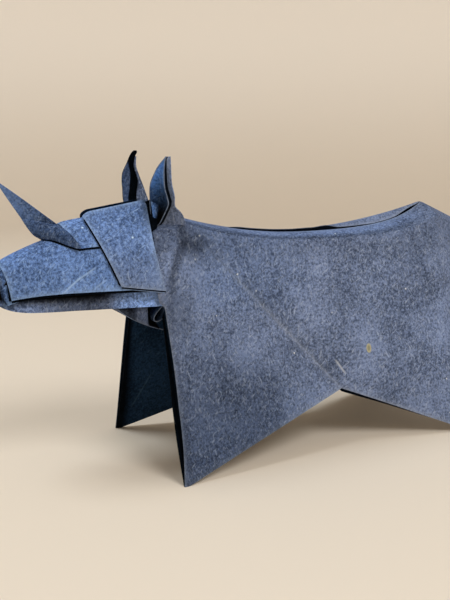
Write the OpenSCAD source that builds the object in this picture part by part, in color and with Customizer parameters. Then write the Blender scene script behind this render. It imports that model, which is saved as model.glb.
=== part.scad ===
// Origami rhinoceros: one sheet of fibrous paper folded into a standing animal.
// Millimetres. The nose points along -X, +Z is up, and the feet stand on z = 0.
// Points are given for the side at -Y, and the other side is its mirror image.

/* [Paper] */
// Thickness of the folded paper
paper_t = 0.4; // [0.3:0.05:0.6]

/* [Body] */
// Length from the nose to the tail
total_l = 188; // [178:1:200]
// Length from the nose back to the withers
withers_l = 61.5; // [59:0.5:64]
// Length from the peak of the rump back to the tail
rump_l = 21; // [15:0.5:26]
// Height of the withers
withers_z = 84.5; // [82:0.5:87]
// Height of the back where it sags most
back_z = 77.4; // [74:0.2:80]
// Height of the peak of the rump
rump_z = 85.6; // [82:0.2:90]
// Height of the tail end of the ridge
tail_z = 78; // [72:0.5:82]
// Width across the two shoulder bends of the back
back_w = 20; // [16:0.5:24]
// Fall from the rim of the back to the shoulder bend
shoulder_drop = 2.2; // [1.5:0.1:3.5]
// Width of the slit along the back
slit_w = 4; // [2.5:0.1:6]
// Depth of the pleat sunk into the slit
pleat_depth = 5; // [3:0.5:8]
// Sag of one rim of the slit below the other
rim_sag = 1.8; // [0:0.1:2.5]
// Outward swell of the flank
flank_swell = 1.2; // [0:0.1:2.5]

/* [Legs] */
// Width across the outer faces of the feet
stance_w = 65.4; // [58:0.5:74]
// Distance from the nose back to the forefoot
forefoot_l = 51.2; // [48:0.2:56]
// Distance from the hind foot back to the tail
hindfoot_l = 15; // [8:0.5:22]
// Distance from the forefoot back to the notch of the belly
notch_l = 69.3; // [60:0.5:78]
// Height of the notch of the belly
notch_z = 20.4; // [15:0.2:26]
// Width of the body across the notch
notch_w = 39.4; // [34:0.2:46]
// Height of the chest, where the front edge of the leg starts
chest_z = 56; // [53:0.5:59]
// Width across the chest
chest_w = 34; // [32:0.5:37]
// Width of the neck at the ears
neck_w = 18; // [16:0.5:20]
// Width of the pocket between a leg and its lining
pocket_w = 3.2; // [1.5:0.1:4.5]
// Length of the flat that each foot stands on
foot_flat = 2; // [1:0.1:3]
// Depth by which the lining shows below the hind leg
hem_drop = 1.2; // [0.5:0.1:2]

/* [Head] */
// Length of the head from the nose to its rear edge
head_l = 52.5; // [50:0.5:56]
// Height of the ridge at the nose
nose_z = 71.8; // [69:0.2:74]
// Height of the ridge of the muzzle at the rear of the head
bridge_z = 81; // [79:0.2:83]
// Height of the lower edge of the muzzle
lip_z = 62; // [60:0.2:64]
// Height of the underside of the jaw
jaw_z = 56; // [53:0.2:58]
// Width of the muzzle at the nose
nose_w = 12; // [9:0.2:15]
// Width of the muzzle at the rear of the head
cheek_w = 31; // [29:0.2:33]
// Distance by which the muzzle overhangs the jaw on each side
overhang = 2.4; // [1.5:0.1:3.5]
// Distance by which the folded lip stands ahead of the muzzle
lip_reach = 2.4; // [1.5:0.1:3.5]
// Width of the slit between the two cheek bands at the front
crown_w = 3.8; // [3:0.2:7]
// Extra width of that slit at the ears
crown_flare = 5.4; // [3:0.2:8]
// Distance from the nose back to the upper front corner of the cheek band
cheek_l = 28.9; // [27:0.1:31]
// Distance from the nose back to the lower front corner of the cheek band
cheek_low_l = 38.4; // [36:0.1:41]
// Distance by which one cheek band starts behind the other
cheek_stagger = 2; // [0:0.2:3]
// Height of the cheek band at its front
crown_z = 86.5; // [85.5:0.1:88.5]
// Outward bow of the cheek band
cheek_bow = 2.4; // [1.5:0.1:3.5]
// Rise of the cheek band from its front to the ears
crown_rise = 4; // [2:0.1:6]
// Height of the ridge of the brow behind the horn
brow_z = 84; // [82:0.1:85]
// Distance from the nose back to the start of the throat
throat_l = 39; // [37:0.2:42]
// Drop of the throat below the jaw
throat_drop = 8.6; // [6:0.2:11]
// Width of the throat pleats
throat_w = 21; // [16:0.5:24]

/* [Horn] */
// Height of the tip of the horn
horn_z = 97; // [90:0.2:106]
// Distance from the nose back to the tip of the horn
horn_l = 3; // [1:0.2:8]
// Distance from the nose back to the front of the base of the horn
horn_base_l = 17.2; // [15:0.2:19]
// Length of the base of the horn along the head
horn_base = 9.6; // [8:0.2:11]

/* [Ears] */
// Height of the tip of the higher ear
ear_z = 106.2; // [101:0.2:112]
// Height of the tip of the higher ear above the other
ear_step = 1.2; // [0:0.1:2]
// Width between the tips of the ears
ear_spread = 23; // [20:0.5:27]
// Width of the cup of the ear
ear_w = 6.8; // [5:0.2:8]
// Depth of the cup of the ear
ear_cup = 2.2; // [1.5:0.1:3]
// Gap between the cup of the ear and the leaf behind it
ear_gap = 3.4; // [2.5:0.1:4.5]
// Forward bow of the ear
ear_bow = 1.8; // [0.5:0.1:3]
// Distance by which the tip of the higher ear stands ahead of the other
ear_stagger = 2.8; // [0:0.2:3.5]
// Extra forward bow of the higher ear
ear_lean = 1.6; // [0:0.1:2.5]

/* [Hidden] */
paper_tone = [0.38, 0.43, 0.54];
// Depth by which two layers that are pressed together share their thickness
press = 0.3 * paper_t;
layer_lift = paper_t - press;
nose_x = -total_l / 2;
tail_x = total_l / 2;
withers_x = nose_x + withers_l;
rump_x = tail_x - rump_l;
head_rear_x = nose_x + head_l;
forefoot_x = nose_x + forefoot_l;
notch_x = forefoot_x + notch_l;
hindfoot_x = tail_x - hindfoot_l;

// Blends and curves

function mix(a, b, k) = a + (b - a) * k;
function curve2(a, b, c, k) = mix(mix(a, b, k), mix(b, c, k), k);
function curve3(a, b, c, d, k) = mix(curve2(a, b, c, k), curve2(b, c, d, k), k);
function swell(k) = 4 * k * (1 - k);

// A sheet of paper over a grid of points

function cell_normal(g, r, c) =
    let (n = cross(g[r][c + 1] - g[r + 1][c], g[r + 1][c + 1] - g[r][c])) n / norm(n);

// Mitred normal, so that the paper keeps its thickness on both sides of a fold
function point_normal(g, r, c) =
    let (
        cells = [
            for (i = [max(r - 1, 0) : min(r, len(g) - 2)])
                for (j = [max(c - 1, 0) : min(c, len(g[0]) - 2)]) cell_normal(g, i, j)
        ],
        mean = [for (n = cells) 1] * cells / len(cells)
    )
    mean / (mean * mean);

function both_turns(a, b, c, d) = [[a, b, c], [a, c, d]];

module sheet(g) {
    rows = len(g);
    cols = len(g[0]);
    count = rows * cols;
    middle = [for (r = [0 : rows - 1]) for (c = [0 : cols - 1]) g[r][c]];
    half = [
        for (r = [0 : rows - 1])
            for (c = [0 : cols - 1]) point_normal(g, r, c) * paper_t / 2
    ];
    edge = concat(
        [for (c = [0 : cols - 2]) c],
        [for (r = [0 : rows - 2]) r * cols + cols - 1],
        [for (c = [cols - 1 : -1 : 1]) (rows - 1) * cols + c],
        [for (r = [rows - 1 : -1 : 1]) r * cols]
    );
    polyhedron(
        points = concat(middle + half, middle - half),
        faces = concat(
            [
                for (r = [0 : rows - 2]) for (c = [0 : cols - 2])
                    let (a = r * cols + c)
                        each both_turns(a, a + cols, a + cols + 1, a + 1)
            ],
            [
                for (r = [0 : rows - 2]) for (c = [0 : cols - 2])
                    let (a = count + r * cols + c)
                        each both_turns(a, a + 1, a + cols + 1, a + cols)
            ],
            [
                for (i = [0 : len(edge) - 1])
                    let (a = edge[i], b = edge[(i + 1) % len(edge)])
                        each both_turns(a, b, b + count, a + count)
            ]
        ),
        convexity = 12
    );
}

module both_sides() {
    children();
    mirror([0, 1, 0]) children();
}

// Body: rims, shoulders and the two flanks

back_cols = 16;
rump_cols = 4;
leg_cols = 8;
flank_rows = 7;
bend_rows = 3;
sway_z = (8 * back_z - withers_z - rump_z) / 6;
ridge_gap = press;
tail_taper = 0.62;
bend_round = 0.85;
neck_share = 0.3;
neck_puff = 0.6;
neck_back = 1.4;
neck_sink = 3;
leg_rake = 0.6;
dip_bias = 2.2;
chest_turn = [-0.8, 2.2, 1.5];

function back_x(i) = i <= back_cols
    ? mix(withers_x, rump_x, i / back_cols)
    : mix(rump_x, tail_x, (i - back_cols) / rump_cols);
function back_part(x) = (x - withers_x) / (rump_x - withers_x);
function rump_part(x) = (x - rump_x) / rump_l;
function rim_z(x) = x < rump_x
    ? curve3(withers_z, sway_z, sway_z, rump_z, back_part(x))
    : mix(rump_z, tail_z, rump_part(x));
function rim_dip(x) = x < rump_x ? rim_sag * sin(180 * pow(back_part(x), dip_bias)) : 0;
function slit_half(x) = x < rump_x
    ? ridge_gap + (slit_w / 2 - ridge_gap) * sqrt(swell(back_part(x)))
    : ridge_gap;
function rim(x, sag) = [x, -slit_half(x), rim_z(x) - sag * rim_dip(x)];
function roof(x) = x < rump_x ? pow(back_part(x), 4) : 1;
function shoulder(x, sag) = [
    x,
    -back_w / 2 * mix(1, tail_taper, max(0, rump_part(x))),
    rim_z(x) - sag * rim_dip(x) - shoulder_drop * (1 + roof(x))
];

// The foot points lie a little below the floor, which cuts the flats
foot_sink = foot_flat * notch_z / notch_l;
forefoot = [forefoot_x, -stance_w / 2, -foot_sink];
hindfoot = [hindfoot_x, -stance_w / 2, -foot_flat * notch_z / (hindfoot_x - notch_x)];
notch = [notch_x, -notch_w / 2, notch_z];
chest = [forefoot_x + leg_rake, -chest_w / 2, chest_z];
neck_tuck = [head_rear_x + neck_back, -neck_w / 2, withers_z - neck_sink];
chest_tuck = chest + chest_turn;

function flank_foot(u) = u < 0 ? mix(notch, forefoot, -u) : mix(notch, hindfoot, u);
function flank_top(u, sag) = u < 0
    ? mix(shoulder(withers_x, sag), chest, -u)
    : shoulder(back_x(u * (back_cols + rump_cols)), sag);
function flank_rim(u, sag) =
    u >= 0 ? rim(back_x(u * (back_cols + rump_cols)), sag)
    : u > -neck_share ? mix(rim(withers_x, sag), neck_tuck, -u / neck_share)
    : mix(neck_tuck, chest_tuck, (-u - neck_share) / (1 - neck_share));
function bend_corner(u, sag) = u < 0
    ? mix(flank_top(u, sag), flank_rim(u, sag), 0.5) + [0, -neck_puff, neck_puff] * (1 + u)
    : [flank_top(u, sag).x, flank_top(u, sag).y * bend_round, flank_rim(u, sag).z];
function flank_at(u, v, sag) =
    mix(flank_foot(u), flank_top(u, sag), v)
    + [0, -flank_swell * swell(v) * (u > 0 ? swell(u) : 0), 0];

// The crease from the notch to the withers is u = 0
function flank_u() = concat(
    [for (j = [leg_cols : -1 : 1]) -j / leg_cols],
    [for (i = [0 : back_cols + rump_cols]) i / (back_cols + rump_cols)]
);

function flank_grid(sag) = concat(
    [for (r = [0 : flank_rows]) [for (u = flank_u()) flank_at(u, r / flank_rows, sag)]],
    [
        for (r = [1 : bend_rows])
            [
                for (u = flank_u())
                    curve2(flank_top(u, sag), bend_corner(u, sag), flank_rim(u, sag), r / bend_rows)
            ]
    ]
);

module flanks() {
    sheet(flank_grid(1));
    mirror([0, 1, 0]) sheet(flank_grid(0));
}

// The pleat sinks between the rims and joins the two flanks
module back_pleat() {
    floor_share = 0.35;
    end_inset = 0.3;
    function far(p) = [p.x, -p.y, p.z];
    function depth(x) = paper_t + pleat_depth * sqrt(swell(back_part(x)));
    function floor_at(x, side) = [x, side * slit_half(x) * floor_share, rim(x, 1).z - depth(x)];
    xs = [for (i = [0 : back_cols]) back_x(min(max(i, end_inset), back_cols - end_inset))];
    sheet([
        [for (x = xs) rim(x, 1) + [0, 0, press]],
        [for (x = xs) floor_at(x, -1)],
        [for (x = xs) floor_at(x, 1)],
        [for (x = xs) far(rim(x, 0)) + [0, 0, press]]
    ]);
}

// Linings: the paper turns up inside each leg and leaves a pocket

lining_rows = 6;
fore_lining = 0.94;
hind_lining = 0.6;
hem_taper = 1.4;

function lining_gap(u, v) =
    paper_t - press + (pocket_w - paper_t) * (1 - pow(1 - v, 4)) * (1 - pow(1 - abs(u), 3));
function lining_at(u, v, drop) =
    flank_at(u, v, 0) + [0, lining_gap(u, v), -drop * (1 - v) * max(0, 1 - hem_taper * abs(u))];

module leg_linings() {
    both_sides() {
        sheet([
            for (r = [0 : lining_rows])
                [for (j = [leg_cols : -1 : 0]) lining_at(-j / leg_cols, r / lining_rows * fore_lining, 0)]
        ]);
        sheet([
            for (r = [0 : lining_rows])
                [for (j = [0 : leg_cols]) lining_at(j / leg_cols, r / lining_rows * hind_lining, hem_drop)]
        ]);
    }
}

// Head: the muzzle is a folded hood, rounded along its ridge

muzzle_cols = 12;
muzzle_rows = 6;
lip_back = 4.8;
bridge_pull = 4.2;
nose_droop = 1.5;
muzzle_square = 0.85;

function muzzle_half(s) = mix(nose_w, cheek_w, s) / 2;
function muzzle_x(s, q) =
    mix(nose_x + mix(lip_back, lip_reach / 2, q), head_rear_x, s);
function muzzle_ridge(s) = curve2(nose_z, bridge_z + bridge_pull, bridge_z, s);
function muzzle_low(s) = lip_z - nose_droop * pow(1 - s, 6);
// s runs from the nose to the rear, q from the lower edge to the ridge
function muzzle_at(s, q) =
    let (
        w = muzzle_half(s),
        p = curve2([-w, muzzle_low(s)], [-muzzle_square * w, muzzle_ridge(s)], [0, muzzle_ridge(s)], q)
    )
    [muzzle_x(s, q), p.x, p.y];
function muzzle_part(x) = (x - nose_x - lip_reach) / (head_rear_x - nose_x - lip_reach);
function mirrored(row) = [for (p = row) [p.x, -p.y, p.z]];
function arched(rows) = concat(
    rows,
    [for (r = [len(rows) - 2 : -1 : 0]) mirrored(rows[r])]
);

module muzzle() {
    sheet(arched([
        for (r = [0 : muzzle_rows])
            [for (c = [0 : muzzle_cols]) muzzle_at(c / muzzle_cols, r / muzzle_rows)]
    ]));
}

// The lip is a second layer folded round the nose inside the muzzle, and turned in at its front
module lip() {
    lip_cols = 3;
    lip_part = 0.16;
    lip_hang = 2;
    lip_in = 1;
    lip_share = 0.86;
    lip_front_share = 0.72;
    lip_sink = 0.25;
    tip_share = 0.1;
    tip_turn = 0.6;
    function lip_at(s, q) =
        let (p = muzzle_at(s, q), k = 1 - s / lip_part)
        [
            p.x - (mix(lip_reach, lip_reach / 2, q) - paper_t / 2) * k,
            p.y * mix(lip_share, lip_front_share, k),
            p.z - press - lip_hang * (1 - q) * k - lip_sink * q
        ];
    function turned_in(q) =
        let (p = lip_at(0, q))
        [p.x + lip_in, p.y * tip_share, mix(p.z, (nose_z + lip_z) / 2, tip_turn)];
    sheet(arched([
        for (r = [0 : muzzle_rows])
            let (q = r / muzzle_rows)
                concat([turned_in(q)], [for (c = [0 : lip_cols]) lip_at(c / lip_cols * lip_part, q)])
    ]));
}

// The jaw is a trough that hangs inside the muzzle
module jaw() {
    jaw_cols = muzzle_cols / 2;
    seat = 2 / muzzle_rows;
    jaw_nose = 2.2;
    jaw_tip_share = 0.6;
    jaw_taper = 6;
    jaw_reach = 1.5;
    keel_share = 0.92;
    function jaw_half(s) =
        (muzzle_half(s) - overhang) * mix(jaw_tip_share, 1, sqrt(min(1, s * jaw_taper)));
    function jaw_low(s) = jaw_z + jaw_nose * pow(1 - s, 8);
    function jaw_x(s) = mix(nose_x + lip_reach / 2, head_rear_x + jaw_reach, s);
    function jaw_top(s) = muzzle_at(s, seat) + [0, layer_lift, -layer_lift / 2];
    parts = [for (c = [0 : jaw_cols]) c / jaw_cols];
    rows = [
        [for (s = parts) jaw_top(s)],
        [for (s = parts) [jaw_x(s), -jaw_half(s), muzzle_low(s)]],
        [for (s = parts) [jaw_x(s), -jaw_half(s) * keel_share, jaw_low(s)]],
        [for (s = parts) [jaw_x(s), 0, jaw_low(s)]]
    ];
    sheet(arched(rows));
}

// Brow: a raised flap behind the horn, seated on the muzzle
brow_seat = 0.5;
brow_rear = 0.86;
brow_rake = 3.4;
brow_sink = 1.6;
brow_square = 0.45;
brow_under_horn = 0.4;
brow_front = muzzle_part(nose_x + horn_base_l + brow_under_horn * horn_base);

function brow_part(s) = (s - brow_front) / (brow_rear - brow_front);
// s runs from the horn to the cheek, q from the lower edge to the ridge
function brow_at(s, q) =
    let (
        low = muzzle_at(s, brow_seat) + [brow_rake * (1 - brow_part(s)), -layer_lift, layer_lift / 2],
        top = [muzzle_x(s, 1), 0, mix(brow_z, crown_z - brow_sink, brow_part(s))]
    )
    curve2(low, [mix(low.x, top.x, 0.5), low.y * brow_square, top.z - paper_t], top, q);

module brow() {
    brow_cols = 5;
    brow_rows = 4;
    sheet(arched([
        for (r = [0 : brow_rows])
            [
                for (c = [0 : brow_cols])
                    brow_at(mix(brow_front, brow_rear, c / brow_cols), r / brow_rows)
            ]
    ]));
}

// Cheek band: one bowed panel on each side, with a slit between their upper edges
cheek_over = 0.5;
cheek_hollow = 1.6;
cheek_rake = 2.5;
cheek_lift = 1.3;
cheek_drop = 2;
cheek_top_front = [nose_x + cheek_l, -crown_w / 2, crown_z];
cheek_low_front = [
    nose_x + cheek_low_l,
    -muzzle_half(cheek_low_l / head_l) - cheek_over,
    lip_z + cheek_lift
];
cheek_low_rear = [head_rear_x + paper_t, -cheek_w / 2 - cheek_over, cheek_low_front.z - cheek_drop];
cheek_top_rear = [
    cheek_low_rear.x - cheek_rake,
    -(crown_w + crown_flare) / 2,
    crown_z + crown_rise
];

module cheek_bands() {
    cheek_cols = 5;
    cheek_rows = 6;
    // a runs from the front to the rear, b from the lower edge to the upper
    function cheek_at(a, b, set_back) =
        mix(mix(cheek_low_front, cheek_low_rear, a), mix(cheek_top_front, cheek_top_rear, a), b)
        + [set_back * (1 - a) * b - cheek_hollow * a * a * swell(b), -cheek_bow * swell(b), 0];
    module band(set_back)
        sheet([
            for (r = [0 : cheek_rows])
                [for (c = [0 : cheek_cols]) cheek_at(c / cheek_cols, r / cheek_rows, set_back)]
        ]);
    band(0);
    mirror([0, 1, 0]) band(cheek_stagger);
}

// Horn: two layers that meet along the front edge and lie on the brow at the rear
module horn() {
    horn_cols = 8;
    horn_rows = 3;
    horn_foot = 0.4;
    rear_bulge = [0, -1.2, 0.8];
    tip_w = 0.5;
    front_s = muzzle_part(nose_x + horn_base_l);
    rear_s = muzzle_part(nose_x + horn_base_l + horn_base);
    tip = [nose_x + horn_l, -press, horn_z];
    waist = brow_at(brow_front, 1) + [0, -press - layer_lift, -layer_lift];
    function base_at(a) =
        muzzle_at(mix(rear_s, front_s, a), mix(brow_seat, 1, a)) - [0, press + layer_lift * (1 - a), 0];
    function rear_at(k) = k < horn_foot
        ? mix(base_at(0), waist, k / horn_foot)
            + rear_bulge * swell(k / horn_foot)
        : mix(waist, tip + [tip_w, 0, 0], (k - horn_foot) / (1 - horn_foot));
    function front_at(k) = mix(base_at(1), tip, k);
    function horn_at(a, k) = mix(mix(rear_at(k), front_at(k), a), base_at(a), pow(1 - k, 6));
    both_sides()
        sheet([
            for (r = [0 : horn_rows])
                [for (c = [0 : horn_cols]) horn_at(r / horn_rows, c / horn_cols)]
        ]);
}

// Ears: a cup that opens outwards and a second leaf behind it, joined at the tip and the foot
module ears() {
    ear_rows = 8;
    leaf_cols = 4;
    ear_turn = 34;
    foot_w = 0.4;
    leaf_from = -0.6;
    leaf_to = 1.5;
    across = [cos(ear_turn), -sin(ear_turn), 0];
    inward = [sin(ear_turn), cos(ear_turn), 0];
    foot_tuck = 1.2;
    foot_drop = 2.5;
    foot_back = 0.6;
    tip_back = 3.3;
    low_bias = 0.66;
    foot = [head_rear_x + foot_back, foot_tuck - neck_w / 2, withers_z - foot_drop];
    tip = [head_rear_x + tip_back, -ear_spread / 2, ear_z - ear_step];
    function half(k) = max(foot_w, ear_w / 2 * pow(sin(180 * pow(k, low_bias)), 0.9));
    function stem(k, ahead) =
        mix(foot, tip + ahead * [-ear_stagger, 0, ear_step], k)
        - [(ear_bow + ahead * ear_lean) * swell(k), 0, 0];
    function leaf_at(k, a, cup, back, ahead) =
        stem(k, ahead) + across * half(k) * a
        + inward * (cup * (1 - a * a) * half(k) / ear_w * 2 + back);
    module leaf(from, to, cup, gap, ahead)
        sheet([
            for (r = [0 : ear_rows])
                let (k = r / ear_rows, back = gap == 0 ? 0 : press + gap * (1 - pow(k, 4)))
                    [for (c = [0 : leaf_cols]) leaf_at(k, mix(from, to, c / leaf_cols), cup, back, ahead)]
        ]);
    module ear(ahead) {
        leaf(-1, 1, ear_cup, 0, ahead);
        leaf(leaf_from, leaf_to, ear_cup / 2, ear_gap, ahead);
    }
    ear(0);
    mirror([0, 1, 0]) ear(1);
}

// Nape: closes the neck between the ears and runs in under the cheek bands
module nape() {
    nape_rows = 6;
    nape_rise = 1.5;
    nape_cols = 3;
    nape_reach = 6;
    nape_taper = 0.7;
    nape_lift = 1;
    saddle_w = 3.4;
    tongue = [neck_tuck.x - nape_reach, neck_tuck.y * nape_taper, neck_tuck.z + nape_lift];
    saddle = [withers_x + 1, -saddle_w / 2, withers_z - press];
    spine = concat([tongue], [for (i = [0 : nape_cols]) mix(neck_tuck, saddle, i / nape_cols)]);
    function across(p, k) = [p.x, mix(p.y, -p.y, k), p.z + nape_rise * swell(k)];
    sheet([for (r = [0 : nape_rows]) [for (p = spine) across(p, r / nape_rows)]]);
}

// Throat: a slack fold under the rear of the jaw, with narrow pleats inside it
module throat() {
    throat_cols = 6;
    pleat_cols = 20;
    pleat_drop = 5;
    pleat_lean = 1.2;
    pleat_turn = 2 * 360;
    seat_z = jaw_z - paper_t + press;
    front_x = nose_x + throat_l;
    rear_x = head_rear_x + 1.2;
    sling_lap = 1;
    sling_start = 0.3;
    sling_bow = 0.6;
    pleat_start = 0.4;
    span = rear_x - front_x;
    function sling(k) = curve2(
        [front_x - sling_lap, seat_z],
        [front_x + span * sling_start, seat_z - throat_drop * sling_bow],
        [rear_x, jaw_z - throat_drop],
        k
    );
    function pleat(k) = [
        mix(front_x + span * pleat_start, rear_x, k) - pleat_lean * sin(pleat_turn * k),
        seat_z - pleat_drop * (1 - cos(pleat_turn * k)) / 2
    ];
    module strip(path)
        sheet([for (y = [-throat_w / 2, 0, throat_w / 2]) [for (p = path) [p.x, y, p.y]]]);
    strip([for (i = [0 : throat_cols]) sling(i / throat_cols)]);
    strip([for (i = [0 : pleat_cols]) pleat(i / pleat_cols)]);
}

module folded_rhinoceros() {
    color(paper_tone)
        intersection() {
            union() {
                flanks();
                back_pleat();
                leg_linings();
                muzzle();
                lip();
                jaw();
                brow();
                cheek_bands();
                horn();
                ears();
                nape();
                throat();
            }
            translate([-total_l, -total_l, 0]) cube(2 * total_l);
        }
}

folded_rhinoceros();
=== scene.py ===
import math
import bpy
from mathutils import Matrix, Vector, noise


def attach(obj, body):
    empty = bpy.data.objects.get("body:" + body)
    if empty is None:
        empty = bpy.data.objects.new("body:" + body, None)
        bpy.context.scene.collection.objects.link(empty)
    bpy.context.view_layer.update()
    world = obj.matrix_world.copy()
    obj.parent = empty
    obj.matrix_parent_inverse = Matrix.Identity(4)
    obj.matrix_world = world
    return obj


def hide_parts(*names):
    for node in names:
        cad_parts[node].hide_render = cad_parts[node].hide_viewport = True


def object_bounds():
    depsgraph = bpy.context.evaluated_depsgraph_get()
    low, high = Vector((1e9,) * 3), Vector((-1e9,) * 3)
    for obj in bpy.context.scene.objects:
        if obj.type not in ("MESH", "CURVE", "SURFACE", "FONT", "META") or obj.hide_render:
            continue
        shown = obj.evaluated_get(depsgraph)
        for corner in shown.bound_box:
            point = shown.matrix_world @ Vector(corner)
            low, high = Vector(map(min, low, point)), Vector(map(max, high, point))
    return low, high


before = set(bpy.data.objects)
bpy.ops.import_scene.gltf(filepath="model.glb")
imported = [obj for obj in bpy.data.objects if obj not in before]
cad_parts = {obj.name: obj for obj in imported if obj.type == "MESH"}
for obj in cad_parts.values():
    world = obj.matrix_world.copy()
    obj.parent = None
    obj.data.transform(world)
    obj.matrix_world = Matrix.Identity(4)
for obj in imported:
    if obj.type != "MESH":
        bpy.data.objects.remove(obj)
cadLow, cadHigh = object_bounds()
bpy.ops.object.select_all(action='DESELECT')
mm = 0.001
noseX = round(cadLow.x / mm)  # the panels are laid out in millimetres, in the frame of the CAD model
tailX = round(cadHigh.x / mm)
print("frame loaded, nose at", noseX, "tail at", tailX)


# blends and curves

def mix(a, b, k):
    return a + (b - a) * k


def curve2(a, b, c, k):
    return mix(mix(a, b, k), mix(b, c, k), k)


def curve3(a, b, c, d, k):
    return mix(curve2(a, b, c, k), curve2(b, c, d, k), k)


def swell(k):
    return 4 * k * (1 - k)


def crowd(k):
    return k * k * (3 - 2 * k)  # rows crowd towards both ends


def rampUp(k, low, high):
    return crowd(min(1, max(0, (k - low) / (high - low))))


def bell(k, width):
    return math.exp(-(k / width) ** 2)


def slopeAt(stops, i):
    (a, low), (b, high) = stops[max(i - 1, 0)], stops[min(i + 1, len(stops) - 1)]
    return (high - low) / (b - a)


def along(stops, k):
    k = min(max(k, stops[0][0]), stops[-1][0])
    i = max(n for n in range(len(stops) - 1) if stops[n][0] <= k)
    (a, low), (b, high) = stops[i], stops[i + 1]
    third = (b - a) / 3
    lowPull = low + slopeAt(stops, i) * third
    highPull = high - slopeAt(stops, i + 1) * third
    return curve3(low, lowPull, highPull, high, (k - a) / (b - a))


def byCol(stops):
    return lambda s, t: along(stops, s)


def byRow(stops):
    return lambda s, t: along(stops, t)


def angled(stops, k, ease=lambda part: part):
    for (a, low), (b, high) in zip(stops, stops[1:]):
        if k <= b:
            return mix(low, high, ease((k - a) / (b - a)))
    return stops[-1][1]


def between(corners, s, t):
    return mix(mix(corners[0], corners[1], s), mix(corners[2], corners[3], s), t)


def farSide(p):
    return Vector((p.x, -p.y, p.z))


# shader helpers

def addNode(tree, kind, place, inputs=None, **settings):
    made = tree.nodes.new("ShaderNode" + kind)
    made.location = place
    for key, value in settings.items():
        setattr(made, key, value)
    for key, value in (inputs or {}).items():
        made.inputs[key].default_value = value
    return made


def newGroup(name, inputs, outputs):
    group = bpy.data.node_groups.new(name, 'ShaderNodeTree')
    for label, kind, value in inputs:
        socket = group.interface.new_socket(name=label, in_out='INPUT', socket_type=kind)
        socket.default_value = value
    for label, kind in outputs:
        group.interface.new_socket(name=label, in_out='OUTPUT', socket_type=kind)
    start = group.nodes.new("NodeGroupInput")
    start.location = (-1200, 0)
    end = group.nodes.new("NodeGroupOutput")
    end.location = (900, 0)
    return group, start, end


def placeGroup(tree, group, place, inputs=None):
    made = tree.nodes.new("ShaderNodeGroup")
    made.node_tree = group
    made.location = place
    for key, value in (inputs or {}).items():
        made.inputs[key].default_value = value
    return made


def feed(tree, socket, value):
    if isinstance(value, bpy.types.NodeSocket):
        tree.links.new(value, socket)
    elif socket.type == 'RGBA':
        socket.default_value = (*value, 1)
    else:
        socket.default_value = value


def maskBetween(tree, value, low, high, place):
    ramp = addNode(tree, "MapRange", place, interpolation_type='SMOOTHSTEP')
    for label, given in (("Value", value), ("From Min", low), ("From Max", high)):
        feed(tree, ramp.inputs[label], given)
    return ramp.outputs["Result"]


def combine(tree, operation, a, b, place, clamp=False):
    made = addNode(tree, "Math", place, operation=operation, use_clamp=clamp)
    feed(tree, made.inputs[0], a)
    feed(tree, made.inputs[1], b)
    return made.outputs["Value"]


def combineVectors(tree, operation, a, b, place, out="Vector"):
    made = addNode(tree, "VectorMath", place, operation=operation)
    feed(tree, made.inputs[0], a)
    feed(tree, made.inputs["Scale" if operation == 'SCALE' else 1], b)
    return made.outputs[out]


def blendColour(tree, factor, a, b, place, blendType='MIX'):
    made = addNode(tree, "Mix", place, data_type='RGBA', blend_type=blendType)
    for i, value in ((0, factor), (6, a), (7, b)):  # the sockets of a colour mix
        feed(tree, made.inputs[i], value)
    return made.outputs[2]


def painted(tree, label, place):
    return addNode(tree, "Attribute", place, attribute_name=label).outputs["Fac"]


# felted fibres of handmade paper, in metres of object space

felt = {
    "clouds": (48, 3, 0.58, 0.36),  # uneven dye: scale, detail, roughness, share of the tone
    "tufts": (700, 3, 0.65, 0.22),  # tufts of pulp
    "speckle": (1250, 2, 0.7, 0.52),
    "toneSpan": (0.405, 0.695),
    "fibreTurns": (72, -41, 101),  # degrees about the flank's normal
    "fibreStretch": (230, 1500, 1500),
    "fibreGrain": {"Scale": 1, "Detail": 2, "Roughness": 0.6},
    "fibreShift": (0.37, 0.21, 0.13),  # from one layer of fibres to the next
    "fibreFull": 0.78,
    "fibreHeight": 0.6,
    "curl": 0.0016,
    "curlScale": 260,
    "speckScale": 300,
    "speckSize": (0.13, 0.05),
    "speckPick": (0.9, 0.96),  # only a few grains show
    "creaseFade": 0.3,  # a crease fades at its ends
}


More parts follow.
